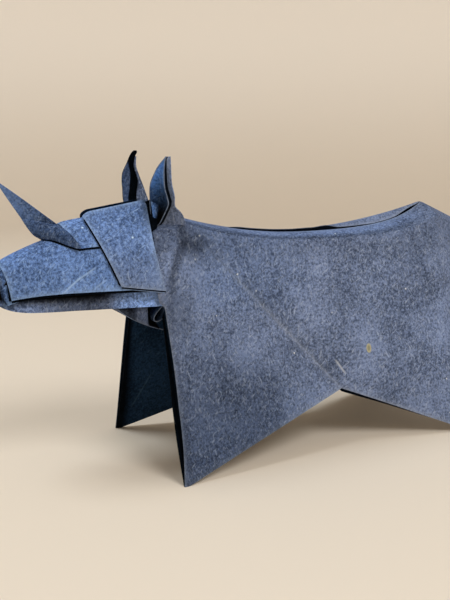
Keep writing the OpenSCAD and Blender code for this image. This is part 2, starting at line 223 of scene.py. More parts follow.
def feltGroup():
    group, start, end = newGroup(
        "paperFelt",
        [("Fibre Cover", 'NodeSocketFloat', 0.6)],
        [(label, 'NodeSocketFloat') for label in ("Tone", "Fibre", "Speck", "Height")])
    link = group.links.new
    coords = addNode(group, "TexCoord", (-1200, 300)).outputs["Object"]
    wander = addNode(group, "TexNoise", (-1000, 500), {"Scale": felt["curlScale"], "Detail": 1})
    link(coords, wander.inputs["Vector"])
    centred = combineVectors(group, 'SUBTRACT', wander.outputs["Color"], (0.5, 0.5, 0.5), (-820, 500))
    curled = combineVectors(group, 'SCALE', centred, felt["curl"], (-640, 500))
    curly = combineVectors(group, 'ADD', coords, curled, (-460, 500))
    fibre = None
    for i, turn in enumerate(felt["fibreTurns"]):
        y = 500 - 320 * i
        lay = addNode(group, "Mapping", (-280, y), {
            "Rotation": (0, math.radians(turn), 0),
            "Location": Vector(felt["fibreShift"]) * i}, vector_type='TEXTURE')
        link(curly, lay.inputs["Vector"])
        drawn = combineVectors(group, 'MULTIPLY', lay.outputs["Vector"], felt["fibreStretch"], (-100, y))
        strands = addNode(group, "TexNoise", (80, y), felt["fibreGrain"])
        link(drawn, strands.inputs["Vector"])
        cover = start.outputs["Fibre Cover"]
        layer = maskBetween(group, strands.outputs["Fac"], cover, felt["fibreFull"], (260, y))
        fibre = combine(group, 'MAXIMUM', fibre, layer, (440, y)) if fibre else layer
    tone = None
    clumps = {}
    for i, label in enumerate(("clouds", "tufts", "speckle")):
        y = -500 - 200 * i
        scale, detail, roughness, share = felt[label]
        texture = addNode(group, "TexNoise", (80, y), {
            "Scale": scale, "Detail": detail, "Roughness": roughness})
        link(coords, texture.inputs["Vector"])
        clumps[label] = texture.outputs["Fac"]
        layer = combine(group, 'MULTIPLY', clumps[label], share, (260, y))
        tone = combine(group, 'ADD', tone, layer, (440, y)) if tone else layer
    grains = addNode(group, "TexVoronoi", (80, -1100), {"Scale": felt["speckScale"]})
    link(coords, grains.inputs["Vector"])
    near = maskBetween(group, grains.outputs["Distance"], *felt["speckSize"], (260, -1100))
    pick = addNode(group, "SeparateColor", (260, -1300))
    link(grains.outputs["Color"], pick.inputs["Color"])
    chosen = maskBetween(group, pick.outputs["Red"], *felt["speckPick"], (440, -1300))
    link(maskBetween(group, tone, *felt["toneSpan"], (760, -500)), end.inputs["Tone"])
    link(fibre, end.inputs["Fibre"])
    link(combine(group, 'MULTIPLY', near, chosen, (620, -1100)), end.inputs["Speck"])
    height = combine(group, 'MULTIPLY', fibre, felt["fibreHeight"], (620, 100))
    link(combine(group, 'ADD', height, clumps["tufts"], (760, 100)), end.inputs["Height"])
    return group


def creaseGroup():
    group, start, end = newGroup(
        "creaseLine",
        [("Start", 'NodeSocketVector', (0, 0, 0)), ("End", 'NodeSocketVector', (0, 0, 1)),
         ("Width", 'NodeSocketFloat', 0.0004)],
        [("Mask", 'NodeSocketFloat')])
    link = group.links.new
    coords = addNode(group, "TexCoord", (-1000, 300)).outputs["Object"]
    whole = combineVectors(group, 'SUBTRACT', start.outputs["End"], start.outputs["Start"], (-800, -100))
    reach = combineVectors(group, 'SUBTRACT', coords, start.outputs["Start"], (-800, 200))
    dot = combineVectors(group, 'DOT_PRODUCT', reach, whole, (-600, 200), "Value")
    square = combineVectors(group, 'DOT_PRODUCT', whole, whole, (-600, -100), "Value")
    part = combine(group, 'DIVIDE', dot, square, (-400, 100), clamp=True)
    foot = combineVectors(group, 'SCALE', whole, part, (-200, 100))
    off = combineVectors(group, 'DISTANCE', reach, foot, (0, 200), "Value")
    line = addNode(group, "MapRange", (200, 200), {"To Min": 1, "To Max": 0}, interpolation_type='SMOOTHSTEP')
    link(off, line.inputs["Value"])
    link(start.outputs["Width"], line.inputs["From Max"])
    left = combine(group, 'SUBTRACT', 1, part, (0, -100))
    bulge = combine(group, 'MULTIPLY', combine(group, 'MULTIPLY', part, left, (200, -100)), 4, (380, -100))
    ends = combine(group, 'POWER', bulge, felt["creaseFade"], (560, -100))
    link(combine(group, 'MULTIPLY', line.outputs["Result"], ends, (720, 200)), end.inputs["Mask"])
    return group


paperFelt = feltGroup()
creaseLine = creaseGroup()


def newPaper(name, finish):
    material = bpy.data.materials.new(name)
    material.use_nodes = True
    tree = material.node_tree
    surface = tree.nodes["Principled BSDF"].inputs
    surface["Specular IOR Level"].default_value = finish["sheen"]
    pulp = placeGroup(tree, paperFelt, (-1100, 200), {"Fibre Cover": finish["fibreCover"]})
    return material, tree, surface, pulp.outputs


def pulpColour(tree, pulp, finish):
    colour = blendColour(tree, pulp["Tone"], finish["dark"], finish["light"], (-860, 200))
    fibre = combine(tree, 'MULTIPLY', pulp["Fibre"], finish["fibreShare"], (-860, 0))
    return blendColour(tree, fibre, colour, finish["fibre"], (-680, 200))


def markCreases(tree, colour, lines, tint, y):
    for a, b, width, strength in lines:
        crease = placeGroup(tree, creaseLine, (-860, y), {
            "Start": Vector(a) * mm, "End": Vector(b) * mm, "Width": width * mm})
        mark = combine(tree, 'MULTIPLY', crease.outputs["Mask"], strength, (-680, y))
        colour = blendColour(tree, mark, colour, tint, (-500, y))
        y -= 200
    return colour


def roughen(tree, surface, value, finish):
    dull, smooth = finish["rough"]
    rough = addNode(tree, "MapRange", (200, -200), {"To Min": dull, "To Max": smooth})
    tree.links.new(value, rough.inputs["Value"])
    tree.links.new(rough.outputs["Result"], surface["Roughness"])


def emboss(tree, surface, height, finish):
    strength, depth = finish["bump"]
    bump = addNode(tree, "Bump", (200, -500), {"Strength": strength, "Distance": depth})
    tree.links.new(height, bump.inputs["Height"])
    tree.links.new(bump.outputs["Normal"], surface["Normal"])


frontFinish = {
    "dark": (0.044, 0.062, 0.112),
    "light": (0.222, 0.290, 0.480),
    "fibre": (0.42, 0.49, 0.65),
    "fibreCover": 0.56,
    "fibreShare": 0.55,
    "hairs": 0.7,  # pale fibres on the darker panels
    "blueDyeAndSkyTint": (0.72, 1.40, 2.20),  # how the deepest blue dye and painted skylight tint the paper
    "sheen": 0.1,
    "rough": (0.92, 0.74),  # between the fibres, on them
    "bump": (0.5, 0.00012),  # strength, depth in metres
    "speck": (0.72, 0.74, 0.76),
    "worn": (0.34, 0.38, 0.47),
    "wear": 0.5,
    "creased": (0.46, 0.49, 0.56),
    "creases": [  # start, end, width in millimetres, strength
        ((23.4, -19.5, 31.5), (27.5, -20.3, 25.8), 0.6, 0.8),
        ((-73.9, -9.3, 62.0), (-68.2, -9.95, 66.9), 0.5, 0.75),
        ((-69.4, -9.8, 65.9), (-63.0, -10.3, 69.9), 0.5, 0.55),
        ((-64.2, -11.1, 63.0), (-60.0, -11.6, 65.9), 0.5, 0.4),
    ],
    "foldShadeTone": (0.004, 0.007, 0.016),
    "folds": [  # painted shade along the fold between the lip and the jaw
        ((-92.6, -3.6, 62.4), (-91.3, -4.6, 60.2), 0.55, 1),
        ((-91.7, -4.5, 60.8), (-90.1, -4.5, 58.5), 0.55, 1),
        ((-90.6, -4.4, 59.0), (-88.0, -4.0, 57.2), 0.5, 0.9),
    ],
    "fleckRim": (0.40, 0.38, 0.26),
    "fleckHeart": (0.26, 0.25, 0.165),
    "fleckAt": (37.4, -20.7, 34.5),
    "fleckRadii": (1.15, 2.5, 1.9),
    "heartSpan": (0.35, 0.7),  # share of the fleck where its heart ends
    "rimSpan": (1, 0.8),
    "grains": [  # pale grains that the photo shows on the head and the flank
        (-65.2, -3.9, 82.0), (-50.5, -10.4, 78.8), (-29.3, -12.6, 70.6), (67.4, -25.5, 22.4)],
    "grainRadius": 0.55,
}


def frontPaper():
    material, tree, surface, pulp = newPaper("blueGreyPaper", frontFinish)
    link = tree.links.new
    colour = pulpColour(tree, pulp, frontFinish)
    colour = blendColour(tree, pulp["Speck"], colour, frontFinish["speck"], (-500, 200))
    edges = painted(tree, "edgeWear", (-860, -200))
    wear = combine(tree, 'MULTIPLY', edges, frontFinish["wear"], (-680, -200))
    colour = blendColour(tree, wear, colour, frontFinish["worn"], (-320, 200))
    colour = markCreases(tree, colour, frontFinish["creases"], frontFinish["creased"], -400)
    coords = addNode(tree, "TexCoord", (-1100, -1100)).outputs["Object"]
    for i, place in enumerate(frontFinish["grains"]):
        y = -1800 - 200 * i
        off = combineVectors(tree, 'DISTANCE', coords, Vector(place) * mm, (-900, y), "Value")
        grain = maskBetween(tree, off, frontFinish["grainRadius"] * mm, 0, (-700, y))
        colour = blendColour(tree, grain, colour, frontFinish["speck"], (-340, y))
    # blue dye, and painted skylight where the head and the shoulder band face up
    blue = painted(tree, "dyeAndSkyBlue", (-900, -1400))
    colour = blendColour(tree, blue, colour, frontFinish["blueDyeAndSkyTint"], (340, 200), 'MULTIPLY')
    # dye tone and painted shade, set panel by panel
    tone = painted(tree, "dyeAndShadeTone", (-900, -1600))
    colour = blendColour(tree, 1.0, colour, tone, (500, 200), 'MULTIPLY')
    left = combine(tree, 'SUBTRACT', 1, tone, (-700, -1500))
    undyed = combine(tree, 'MULTIPLY', tone, left, (-520, -1500))
    hairs = combine(tree, 'MULTIPLY', undyed, frontFinish["hairs"], (-340, -1500))
    hairs = combine(tree, 'MULTIPLY', hairs, pulp["Fibre"], (-160, -1500))
    colour = blendColour(tree, hairs, colour, frontFinish["fibre"], (580, 200))
    colour = markCreases(tree, colour, frontFinish["folds"], frontFinish["foldShadeTone"], -2800)
    fleck = addNode(tree, "Mapping", (-900, -1100), {
        "Location": Vector(frontFinish["fleckAt"]) * mm,
        "Scale": Vector(frontFinish["fleckRadii"]) * mm}, vector_type='TEXTURE')
    link(coords, fleck.inputs["Vector"])
    size = combineVectors(tree, 'DISTANCE', fleck.outputs["Vector"], (0, 0, 0), (-700, -1100), "Value")
    heart = maskBetween(tree, size, *frontFinish["heartSpan"], (-520, -1200))
    bark = blendColour(tree, heart, frontFinish["fleckHeart"], frontFinish["fleckRim"], (-340, -1200))
    inside = maskBetween(tree, size, *frontFinish["rimSpan"], (-520, -1000))
    link(blendColour(tree, inside, colour, bark, (660, 200)), surface["Base Color"])
    roughen(tree, surface, pulp["Fibre"], frontFinish)
    emboss(tree, surface, pulp["Height"], frontFinish)
    return material


reverseFinish = {
    "dark": (0.0030, 0.0080, 0.0180),
    "light": (0.0095, 0.0250, 0.0560),
    "fibre": (0.030, 0.056, 0.090),
    "fibreCover": 0.6,
    "fibreShare": 0.4,
    "sheen": 0.04,
    "rough": (0.95, 0.8),
    "bump": (0.35, 0.0001),
    "worn": (0.030, 0.054, 0.082),
    "creases": [((-38.0, 27.8, 9.0), (-31.6, 22.6, 22.7), 0.5, 0.5)],
}


def reversePaper():
    material, tree, surface, pulp = newPaper("darkReverse", reverseFinish)
    colour = pulpColour(tree, pulp, reverseFinish)
    colour = markCreases(tree, colour, reverseFinish["creases"], reverseFinish["worn"], -400)
    # dye tone and painted shade, set panel by panel
    tone = painted(tree, "dyeAndShadeTone", (-480, 400))
    tree.links.new(blendColour(tree, 1.0, colour, tone, (-140, 200), 'MULTIPLY'), surface["Base Color"])
    roughen(tree, surface, pulp["Tone"], reverseFinish)
    emboss(tree, surface, pulp["Height"], reverseFinish)
    return material


edgeFinish = {
    "dark": (0.050, 0.068, 0.108),
    "light": (0.150, 0.190, 0.275),
    "fibreCover": 0.5,
    "sheen": 0.2,
    "rough": (0.95, 0.85),
}


def cutEdge():
    material, tree, surface, pulp = newPaper("paperCutEdge", edgeFinish)
    tone = combine(tree, 'MAXIMUM', pulp["Tone"], pulp["Fibre"], (-460, 200))
    colour = blendColour(tree, tone, edgeFinish["dark"], edgeFinish["light"], (-280, 200))
    tree.links.new(colour, surface["Base Color"])
    roughen(tree, surface, tone, edgeFinish)
    return material


finishes = [frontPaper(), reversePaper(), cutEdge()]  # the order of the slots on every panel
front, reverse, edge = range(3)
darkSide = {"face": reverse, "hem": reverse, "worn": ""}
toNear, toFar = (0, -1, 0), (0, 1, 0)  # which way a panel's face looks
toTop, toFloor, toNose = (0, 0, 1), (0, 0, -1), (-1, 0, 0)
print("paper finishes made")


# one folded panel: a grid laid out by a rule, then given the paper's thickness

paper = {
    "thickness": 0.38,
    "warp": 0.28,  # slow wave that all layers share
    "warpLength": 27,
    "crumple": 0.045,
    "crumpleLength": 7,
    "flatBelow": 18,  # the wave dies out towards the feet
    "wornEdge": 0.9,  # reach of the worn tone
    "shadowLineTone": 0.12,  # of the painted shadow lines along folds and edges
    "seed": 5,  # without one the waves differ from run to run
    "smoothBelow": 38,  # degrees, above which a fold stays sharp
}
noise.seed_set(paper["seed"])
panels = []


def warped(p):
    lift = min(1, max(0, p.z) / paper["flatBelow"])
    slow = noise.noise_vector(p / paper["warpLength"]) * paper["warp"]
    fine = noise.noise_vector(p / paper["crumpleLength"]) * paper["crumple"]
    return p + (slow + fine) * lift


def foldPanel(name, at, cols, rows, outward, face=front, back=reverse, hem=edge, worn="lrbt",
              tone=1, blue=0, crease=None):
    bpy.ops.object.select_all(action='DESELECT')
    bpy.ops.mesh.primitive_grid_add(x_subdivisions=cols, y_subdivisions=rows, size=1)
    panel = bpy.context.object
    panel.name = name
    mesh = panel.data
    wear = mesh.attributes.new("edgeWear", 'FLOAT', 'POINT')
    # dye tone and painted shade, per point
    shadeAndDye = mesh.attributes.new("dyeAndShadeTone", 'FLOAT', 'POINT')
    # blue dye with painted skylight, per point
    blueDyeAndSkyTint = mesh.attributes.new("dyeAndSkyBlue", 'FLOAT', 'POINT')
    for i, v in enumerate(mesh.vertices):
        s = min(max(v.co.x + 0.5, 0), 1)
        t = min(max(v.co.y + 0.5, 0), 1)
        p = at(s, t)
        borders = {"l": (0, t), "r": (1, t), "b": (s, 0), "t": (s, 1)}
        gaps = [(at(*borders[side]) - p).length for side in worn]
        wear.data[i].value = math.exp(-min(gaps) / paper["wornEdge"]) if gaps else 0
        if crease:
            wear.data[i].value = max(wear.data[i].value, crease(s, t))
        shadeAndDye.data[i].value = tone(s, t) if callable(tone) else tone
        blueDyeAndSkyTint.data[i].value = blue(s, t) if callable(blue) else blue
        v.co = warped(p) * mm
    mesh.update()
    facing = sum((f.normal * f.area for f in mesh.polygons), Vector())
    if facing.dot(Vector(outward)) < 0:
        mesh.flip_normals()
    for finish in finishes:
        mesh.materials.append(finish)
    for f in mesh.polygons:
        f.material_index = face
    thick = panel.modifiers.new("thickness", 'SOLIDIFY')
    thick.thickness = paper["thickness"] * mm
    thick.offset = 0
    thick.material_offset = back - face
    thick.material_offset_rim = hem - face
    bpy.ops.object.modifier_apply(modifier=thick.name)
    panels.append(panel)


def mirrored(at):
    return lambda s, t: farSide(at(s, t))


def onBothSides(name, at, cols, rows, outward, **looks):
    away = Vector(outward)
    foldPanel(name + "Near", at, cols, rows, away, **looks)
    foldPanel(name + "Far", mirrored(at), cols, rows, farSide(away), **looks)


# painted shadow: a thin dark strip laid where an edge casts shade
def paintedShadowLine(name, at, cols, rows, outward):
    onBothSides(name, at, cols, rows, outward, tone=paper["shadowLineTone"], **darkSide)


def arched(at):
    return lambda s, t: at(s, 2 * t) if t <= 0.5 else farSide(at(s, 2 - 2 * t))


# body: two flanks that bend over at the shoulder and meet along the back

body = {
    "headRear": 52.5,  # from the nose
    "withers": 61.5,  # from the nose
    "rump": 18.4,  # from the tail
    "withersZ": 84.5,
    "backZ": 77.4,
    "rumpZ": 85.6,
    "tailZ": 78,
    "backWidth": 20,
    "shoulderDrop": 2.2,
    "slitWidth": 4,
    "foreSway": 1.9,
    "hindSway": 0.4,
    "rimSag": 2.2,
    "flankSwell": 1.2,
    "rimGap": 0.12,
    "tailLap": -0.15,
    "tailTaper": 0.62,
    "bendRound": 0.85,
    "rumpRound": 0.3,
    "neckShare": 0.3,
    "neckPuff": 0.6,
    "dipBias": 4.2,
    "rumpShare": 0.2,
    "rumpLate": 4,  # the rump's form sets in late along the back
}
legs = {
    "stance": 65.4,
    "forefoot": 51.2,  # from the nose
    "hindfoot": 15,  # from the tail
    "notch": 69.3,  # from the forefoot
    "notchZ": 20.4,
    "notchWidth": 39.4,
    "chestZ": 56,
    "chestWidth": 34,
    "neckWidth": 17,
    "footSink": 0.6,
    "legRake": 0.6,
    "neckBack": -4.5,  # tucked under the cheek bands
    "neckSink": 3,
    "chestTurn": (-0.8, 2.2, 1.5),
    "hemBack": [(0, 0), (0.1, 0.6), (0.25, 1.2), (0.45, 1.1), (0.65, 0.8), (0.85, 0.4), (1, 0)],  # by height
    "hemSpread": 6,
}
headRearX = noseX + body["headRear"]
withersX = noseX + body["withers"]
rumpX = tailX - body["rump"]
forefootX = noseX + legs["forefoot"]
notchX = forefootX + legs["notch"]
hindfootX = tailX - legs["hindfoot"]
swayZ = (8 * body["backZ"] - body["withersZ"] - body["rumpZ"]) / 6  # the curve is at backZ halfway
forefoot = Vector((forefootX, -legs["stance"] / 2, -legs["footSink"]))
hindfoot = Vector((hindfootX, -legs["stance"] / 2, -legs["footSink"]))
notch = Vector((notchX, -legs["notchWidth"] / 2, legs["notchZ"]))
chest = Vector((forefootX + legs["legRake"], -legs["chestWidth"] / 2, legs["chestZ"]))
neckTuck = Vector((
    headRearX + legs["neckBack"], -legs["neckWidth"] / 2, body["withersZ"] - legs["neckSink"]))
chestTuck = chest + Vector(legs["chestTurn"])


def backPart(x):
    return min(max((x - withersX) / (rumpX - withersX), 0), 1)


def rumpPart(x):
    return min(max((x - rumpX) / body["rump"], 0), 1)


def backX(u):
    k = 1 - body["rumpShare"]
    return mix(withersX, rumpX, u / k) if u <= k else mix(rumpX, tailX, (u - k) / body["rumpShare"])


def rimZ(x, sag):
    if x >= rumpX:
        return mix(body["rumpZ"], body["tailZ"], rumpPart(x))
    dip = body["rimSag"] * math.sin(math.pi * backPart(x) ** body["dipBias"])
    foreZ = swayZ - body["foreSway"]
    hindZ = swayZ + body["hindSway"]
    return curve3(body["withersZ"], foreZ, hindZ, body["rumpZ"], backPart(x)) - sag * dip


def slitHalf(x):
    if x >= rumpX:
        return mix(body["rimGap"], body["tailLap"], math.sqrt(rumpPart(x)))
    return body["rimGap"] + (body["slitWidth"] / 2 - body["rimGap"]) * math.sqrt(swell(backPart(x)))


def rim(x, sag):
    return Vector((x, -slitHalf(x), rimZ(x, sag)))


def shoulder(x, sag):
    width = body["backWidth"] / 2 * mix(1, body["tailTaper"], rumpPart(x))
    drop = body["shoulderDrop"] * (1 + backPart(x) ** body["rumpLate"])
    return Vector((x, -width, rimZ(x, sag) - drop))


def flankFoot(u):
    return mix(notch, forefoot, -u) if u < 0 else mix(notch, hindfoot, u)


def flankTop(u, sag):
    return mix(shoulder(withersX, sag), chest, -u) if u < 0 else shoulder(backX(u), sag)


def flankRim(u, sag):
    k = body["neckShare"]
    if u >= 0:
        return rim(backX(u), sag)
    if u > -k:
        return mix(rim(withersX, sag), neckTuck, -u / k)
    return mix(neckTuck, chestTuck, (-u - k) / (1 - k))


def bendCorner(u, sag):
    top = flankTop(u, sag)
    up = flankRim(u, sag)
    if u < 0:
        return mix(top, up, 0.5) + Vector((0, -1, 1)) * body["neckPuff"] * (1 + u)
    share = mix(body["bendRound"], body["rumpRound"], crowd(backPart(top.x) ** body["rumpLate"]))
    return Vector((top.x, top.y * share, up.z))


def flankAt(u, v, sag):
    out = body["flankSwell"] * swell(v) * swell(max(u, 0))
    return mix(flankFoot(u), flankTop(u, sag), v) - Vector((0, out, 0))


flank = {
    "cols": 96,
    "rows": 60,
    "creaseCol": 46,  # columns ahead of the crease
    "rumpCol": 84,  # columns ahead of the rump fold
    "bendShare": 0.25,  # rows above the shoulder
    "rowCrowd": 1.3,  # rows crowd towards the feet
    "legCols": 0.5,  # how far back the foreleg's tones reach
    "footShadeTone": [  # painted shade by height on the foreleg, darker towards the foot
        (0, 0.4), (20, 0.41), (26, 0.43), (32, 0.54), (45, 0.79), (62, 1), (90, 1)],
    "legBlue": [(0, 0.12), (15, 0.11), (30, 0.06), (45, 0.03), (60, 0)],
    "upperShadeTone": [  # painted shade along the body, darker at the neck and the rump
        (-50, 0.78), (-26, 0.78), (-18, 0.81), (10, 0.94), (40, 1), (60, 0.87), (95, 0.76)],
    "sideBlue": [(-50, 0), (-34, 0.03), (-24, 0.11), (-8, 0.1), (20, 0)],
    "upperFrom": 45,  # height where the upper tone starts
    "upperFull": 62,
    "upperShade": 0.8,  # under the shoulder
    "shadeFrom": 65,
    "shadeFull": 72,
    "neckShadeTone": [  # painted shade on the neck, by height
        (30, 1), (44, 0.84), (50, 0.57), (56, 0.53), (62, 0.72), (66, 0.82), (71, 0.84), (74, 0.64),
        (78, 0.48), (92, 0.48)],
    "neckFrom": -29,
    "neckFull": -36,
    "valley": [  # height, place along the neck
        (54, -41.0), (61, -39.4), (65, -38.4), (69, -36.9), (72.5, -35.3), (76, -33.5), (79, -32.8)],
    # painted shade in the neck's soft crease
    "valleyShadeTone": [(54, 0.8), (61, 0.56), (66, 0.32), (72, 0.26), (78, 0.38), (84, 0.9)],
    "valleyHalf": 1.6,
    "ridgeAhead": 2.7,  # a painted highlight on a soft ridge stands ahead of the valley
    "ridgeHalf": 1.4,
    "ridgeHighlight": 0.24,
    "patchAt": (-29.6, 75.2),  # painted shade in the hollow behind the collar
    "patchReach": (5.4, 3.8),
    "patchShade": 0.66,
    "hindTone": 0.88,  # low on the hind leg
    "hindFrom": 30,
    "hindFull": 16,
    "hindCols": (0.1, 0.4),
    "bandShadeTone": [  # painted shade and light on the band, from the shoulder to the rim
        (0, 0.8), (0.06, 0.52), (0.2, 0.42), (0.3, 0.56), (0.42, 0.8), (0.5, 0.86), (1, 0.84)],
    # painted skylight tint on the band
    "bandSkyBlue": 0.14,
    "bandEnd": 8,  # how late the band fades at the rump
    "bandStart": 6,  # how soon it fades on the neck
    "bandRise": 4,
    "creaseWear": 0.75,
    "creaseTop": 5,  # how soon the crease fades under the shoulder
    "creaseHalf": 0.012,
    "creaseShade": 0.14,
    "creaseReach": 0.05,
}


def flankColumn(s):
    crease = flank["creaseCol"] / flank["cols"]
    fold = flank["rumpCol"] / flank["cols"]
    if s < crease:
        return -crowd((crease - s) / crease)
    if s < fold:
        return (1 - body["rumpShare"]) * crowd((s - crease) / (fold - crease))
    return 1 - body["rumpShare"] * (1 - crowd((s - fold) / (1 - fold)))


def flankPanel(sag, hem):
    def at(s, t):
        u = flankColumn(s)
        low = 1 - flank["bendShare"]
        if t <= low:
            v = (t / low) ** flank["rowCrowd"]
            back = hem * along(legs["hemBack"], v) * max(0, -u) ** legs["hemSpread"]
            return flankAt(u, v, sag) + Vector((back, 0, 0))  # the lining shows ahead of the hem
        bend = (t - low) / flank["bendShare"]
        return curve2(flankTop(u, sag), bendCorner(u, sag), flankRim(u, sag), bend)
    return at


farFlank = flankPanel(0, 0)


def bendPart(t):
    return max(0, (t - 1 + flank["bendShare"]) / flank["bendShare"])


def bandWeight(u):
    if u > 0:
        return 1 - crowd(backPart(backX(u)) ** flank["bandEnd"])
    return max(0, 1 + flank["bandStart"] * u)


def legPart(u):
    return min(1, max(0, -u / flank["legCols"]))


def upperPart(z):
    return rampUp(z, flank["upperFrom"], flank["upperFull"])


# painted shade in the neck's crease and hollow, painted highlight on its ridge
def neckFoldShade(p):
    ahead = p.x - along(flank["valley"], p.z)
    valley = mix(1, along(flank["valleyShadeTone"], p.z), bell(ahead, flank["valleyHalf"]))
    ridge = 1 + flank["ridgeHighlight"] * bell(ahead + flank["ridgeAhead"], flank["ridgeHalf"])
    place, reach = flank["patchAt"], flank["patchReach"]
    patch = 1 - flank["patchShade"] * bell(p.x - place[0], reach[0]) * bell(p.z - place[1], reach[1])
    return valley * ridge * patch


# painted shade down the foreleg, under the shoulder, on the neck and beside the crease, with painted light on
# the band and the ridge
def flankShadeTone(s, t):
    p = farFlank(s, t)
    u = flankColumn(s)
    foot = mix(1, along(flank["footShadeTone"], p.z), legPart(u))
    upper = mix(1, along(flank["upperShadeTone"], p.x), upperPart(p.z))
    shade = mix(1, flank["upperShade"], rampUp(p.z, flank["shadeFrom"], flank["shadeFull"]))
    if bendPart(t) > 0:
        shade = mix(shade, along(flank["bandShadeTone"], bendPart(t)), bandWeight(u))
    neck = rampUp(-p.x, -flank["neckFrom"], -flank["neckFull"])
    tone = mix(upper * shade, along(flank["neckShadeTone"], p.z), neck)
    crease = flank["creaseShade"] * math.exp(-u / flank["creaseReach"]) if u >= 0 else 0
    low = rampUp(-p.z, -flank["hindFrom"], -flank["hindFull"])
    hind = mix(1, flank["hindTone"], low * rampUp(u, *flank["hindCols"]))
    return foot * hind * tone * neckFoldShade(p) * (1 - crease)


# blue on the leg and side, and painted skylight on the band
def flankBlue(s, t):
    p = farFlank(s, t)
    u = flankColumn(s)
    leg = along(flank["legBlue"], p.z) * legPart(u)
    side = along(flank["sideBlue"], p.x) * upperPart(p.z)
    band = flank["bandSkyBlue"] * min(1, flank["bandRise"] * bendPart(t)) * bandWeight(u)
    return max(leg, side, band)


def flankCrease(s, t):
    fade = min(1, flank["creaseTop"] * max(0, 1 - flank["bendShare"] - t))
    return flank["creaseWear"] * fade * math.exp(-abs(flankColumn(s)) / flank["creaseHalf"])


flankLooks = {"tone": flankShadeTone, "blue": flankBlue, "crease": flankCrease}
foldPanel("flankNear", flankPanel(1, 1), flank["cols"], flank["rows"], toNear, **flankLooks)
foldPanel("flankFar", mirrored(farFlank), flank["cols"], flank["rows"], toFar, **flankLooks)

pleat = {
    "cols": 90,
    "endInset": 0.003,
    "lift": 0.12,
    "stripTone": 0.8,
    # painted shade deep in the slit along the back
    "slitShadeTone": 0.15,
    "slitDepth": 3.2,
    "slitGap": 0.9,
    "slitFloor": 0.6,  # share of the gap
    "rise": [  # place along the back, height of the strip's edge over the near rim
        (0, -0.3), (0.17, -0.25), (0.25, 0.65), (0.42, 0.8), (0.52, 1.1), (0.58, 1.6), (0.64, 0.5),
        (0.72, 0.25), (0.79, 0), (0.87, 0), (0.94, 0.7), (1, 0)],
}


def pleatCorners(s):
    x = mix(withersX, rumpX, mix(pleat["endInset"], 1 - pleat["endInset"], s))
    near = rim(x, 1) + Vector((0, 0, pleat["lift"]))
    far = farSide(rim(x, 0)) + Vector((0, 0, pleat["lift"]))
    gap = min(pleat["slitGap"], slitHalf(x))
    crest = near + Vector((0, gap, angled(pleat["rise"], backPart(x), crowd)))
    depth = pleat["slitDepth"] * math.sqrt(swell(backPart(x)))
    deep = near + Vector((0, gap * pleat["slitFloor"], -depth))
    return near, deep, crest, far


def pleatStrip(s, t):
    near, deep, crest, far = pleatCorners(s)
    return mix(crest, far, t)


def pleatSlit(s, t):
    near, deep, crest, far = pleatCorners(s)
    return mix(near, deep, 2 * t) if t < 0.5 else mix(deep, crest, 2 * t - 1)


foldPanel("backStrip", pleatStrip, pleat["cols"], 6, toTop, worn="b", tone=pleat["stripTone"])
foldPanel("backSlit", pleatSlit, pleat["cols"], 8, toTop, tone=pleat["slitShadeTone"], **darkSide)

lining = {
    "pocket": 3.2,
    "pocketRise": 4,  # how soon it opens from the foot up
    "pocketSpread": 3,  # and from the notch on
    "press": 0.12,
    "foreReach": 0.94,
    "hindReach": 0.6,
    "hemDrop": 1.2,
    "hemTaper": 1.4,
    # painted shade in the open pocket along the lining's hem
    "hemTone": 0.12,
    "innerTone": 1.8,
    "hemCols": (0.1, 0.2),
    "hemRows": (0.04, 0.2),
}


def liningAt(u, v, drop):
    lap = paper["thickness"] - lining["press"]
    up = 1 - (1 - v) ** lining["pocketRise"]
    out = 1 - (1 - abs(u)) ** lining["pocketSpread"]
    gap = lap + (lining["pocket"] - lap) * up * out
    hang = drop * (1 - v) * max(0, 1 - lining["hemTaper"] * abs(u))
    return flankAt(u, v, 0) + Vector((0, gap, -hang))


# painted shade in the pocket at the foreleg's front edge
def foreShadeTone(s, t):
    return mix(lining["hemTone"], lining["innerTone"], rampUp(s, *lining["hemCols"]))


# painted shade along the hind lining's hem
def hindTone(s, t):
    return mix(lining["hemTone"], lining["innerTone"], rampUp(t, *lining["hemRows"]))


onBothSides("foreLining", lambda s, t: liningAt(crowd(s) - 1, t * lining["foreReach"], 0),
            30, 24, toFar, tone=foreShadeTone, **darkSide)
onBothSides("hindLining", lambda s, t: liningAt(s, t * lining["hindReach"], lining["hemDrop"]),
            30, 20, toFar, tone=hindTone, **darkSide)
print("body panels folded")


# head: a rounded hood with a lip and a jaw inside it, a brow flap, cheek bands and a horn

head = {
    "noseZ": 71.8,
    "bridgeZ": 81,
    "lipZ": 62,
    "jawZ": 56,
    "noseWidth": 12,
    "cheekWidth": 31,
    "overhang": 2.4,
    "lipReach": 2.4,
    "lipBack": 4.8,
    "bridgePull": 4.2,
    "noseDroop": 1.5,
    "droopEnd": 6,  # how soon the droop ends behind the nose
    "square": 0.85,
    "hoodShare": 0.95,  # of the length that the hood covers
    # painted shade towards the nose
    "noseShadeTone": 0.84,
    "blue": 0.43,
    "footShadow": (0.1, 0.25, -0.8),  # painted shadow under the hood: back, in, down
    "noseFoldShadow": (0.3, 0.3, -0.1),  # painted shadow ahead of it
    "noseShadowTo": 0.42,
    "noseShadowWidth": 0.75,
    "noseShadowTaper": 1.5,
}
layerLift = paper["thickness"] - lining["press"]


def muzzleHalf(s):
    return mix(head["noseWidth"], head["cheekWidth"], s) / 2


def muzzleX(s, q):
    return mix(noseX + mix(head["lipBack"], head["lipReach"] / 2, q), headRearX, s)


def muzzleLow(s):
    return head["lipZ"] - head["noseDroop"] * (1 - s) ** head["droopEnd"]


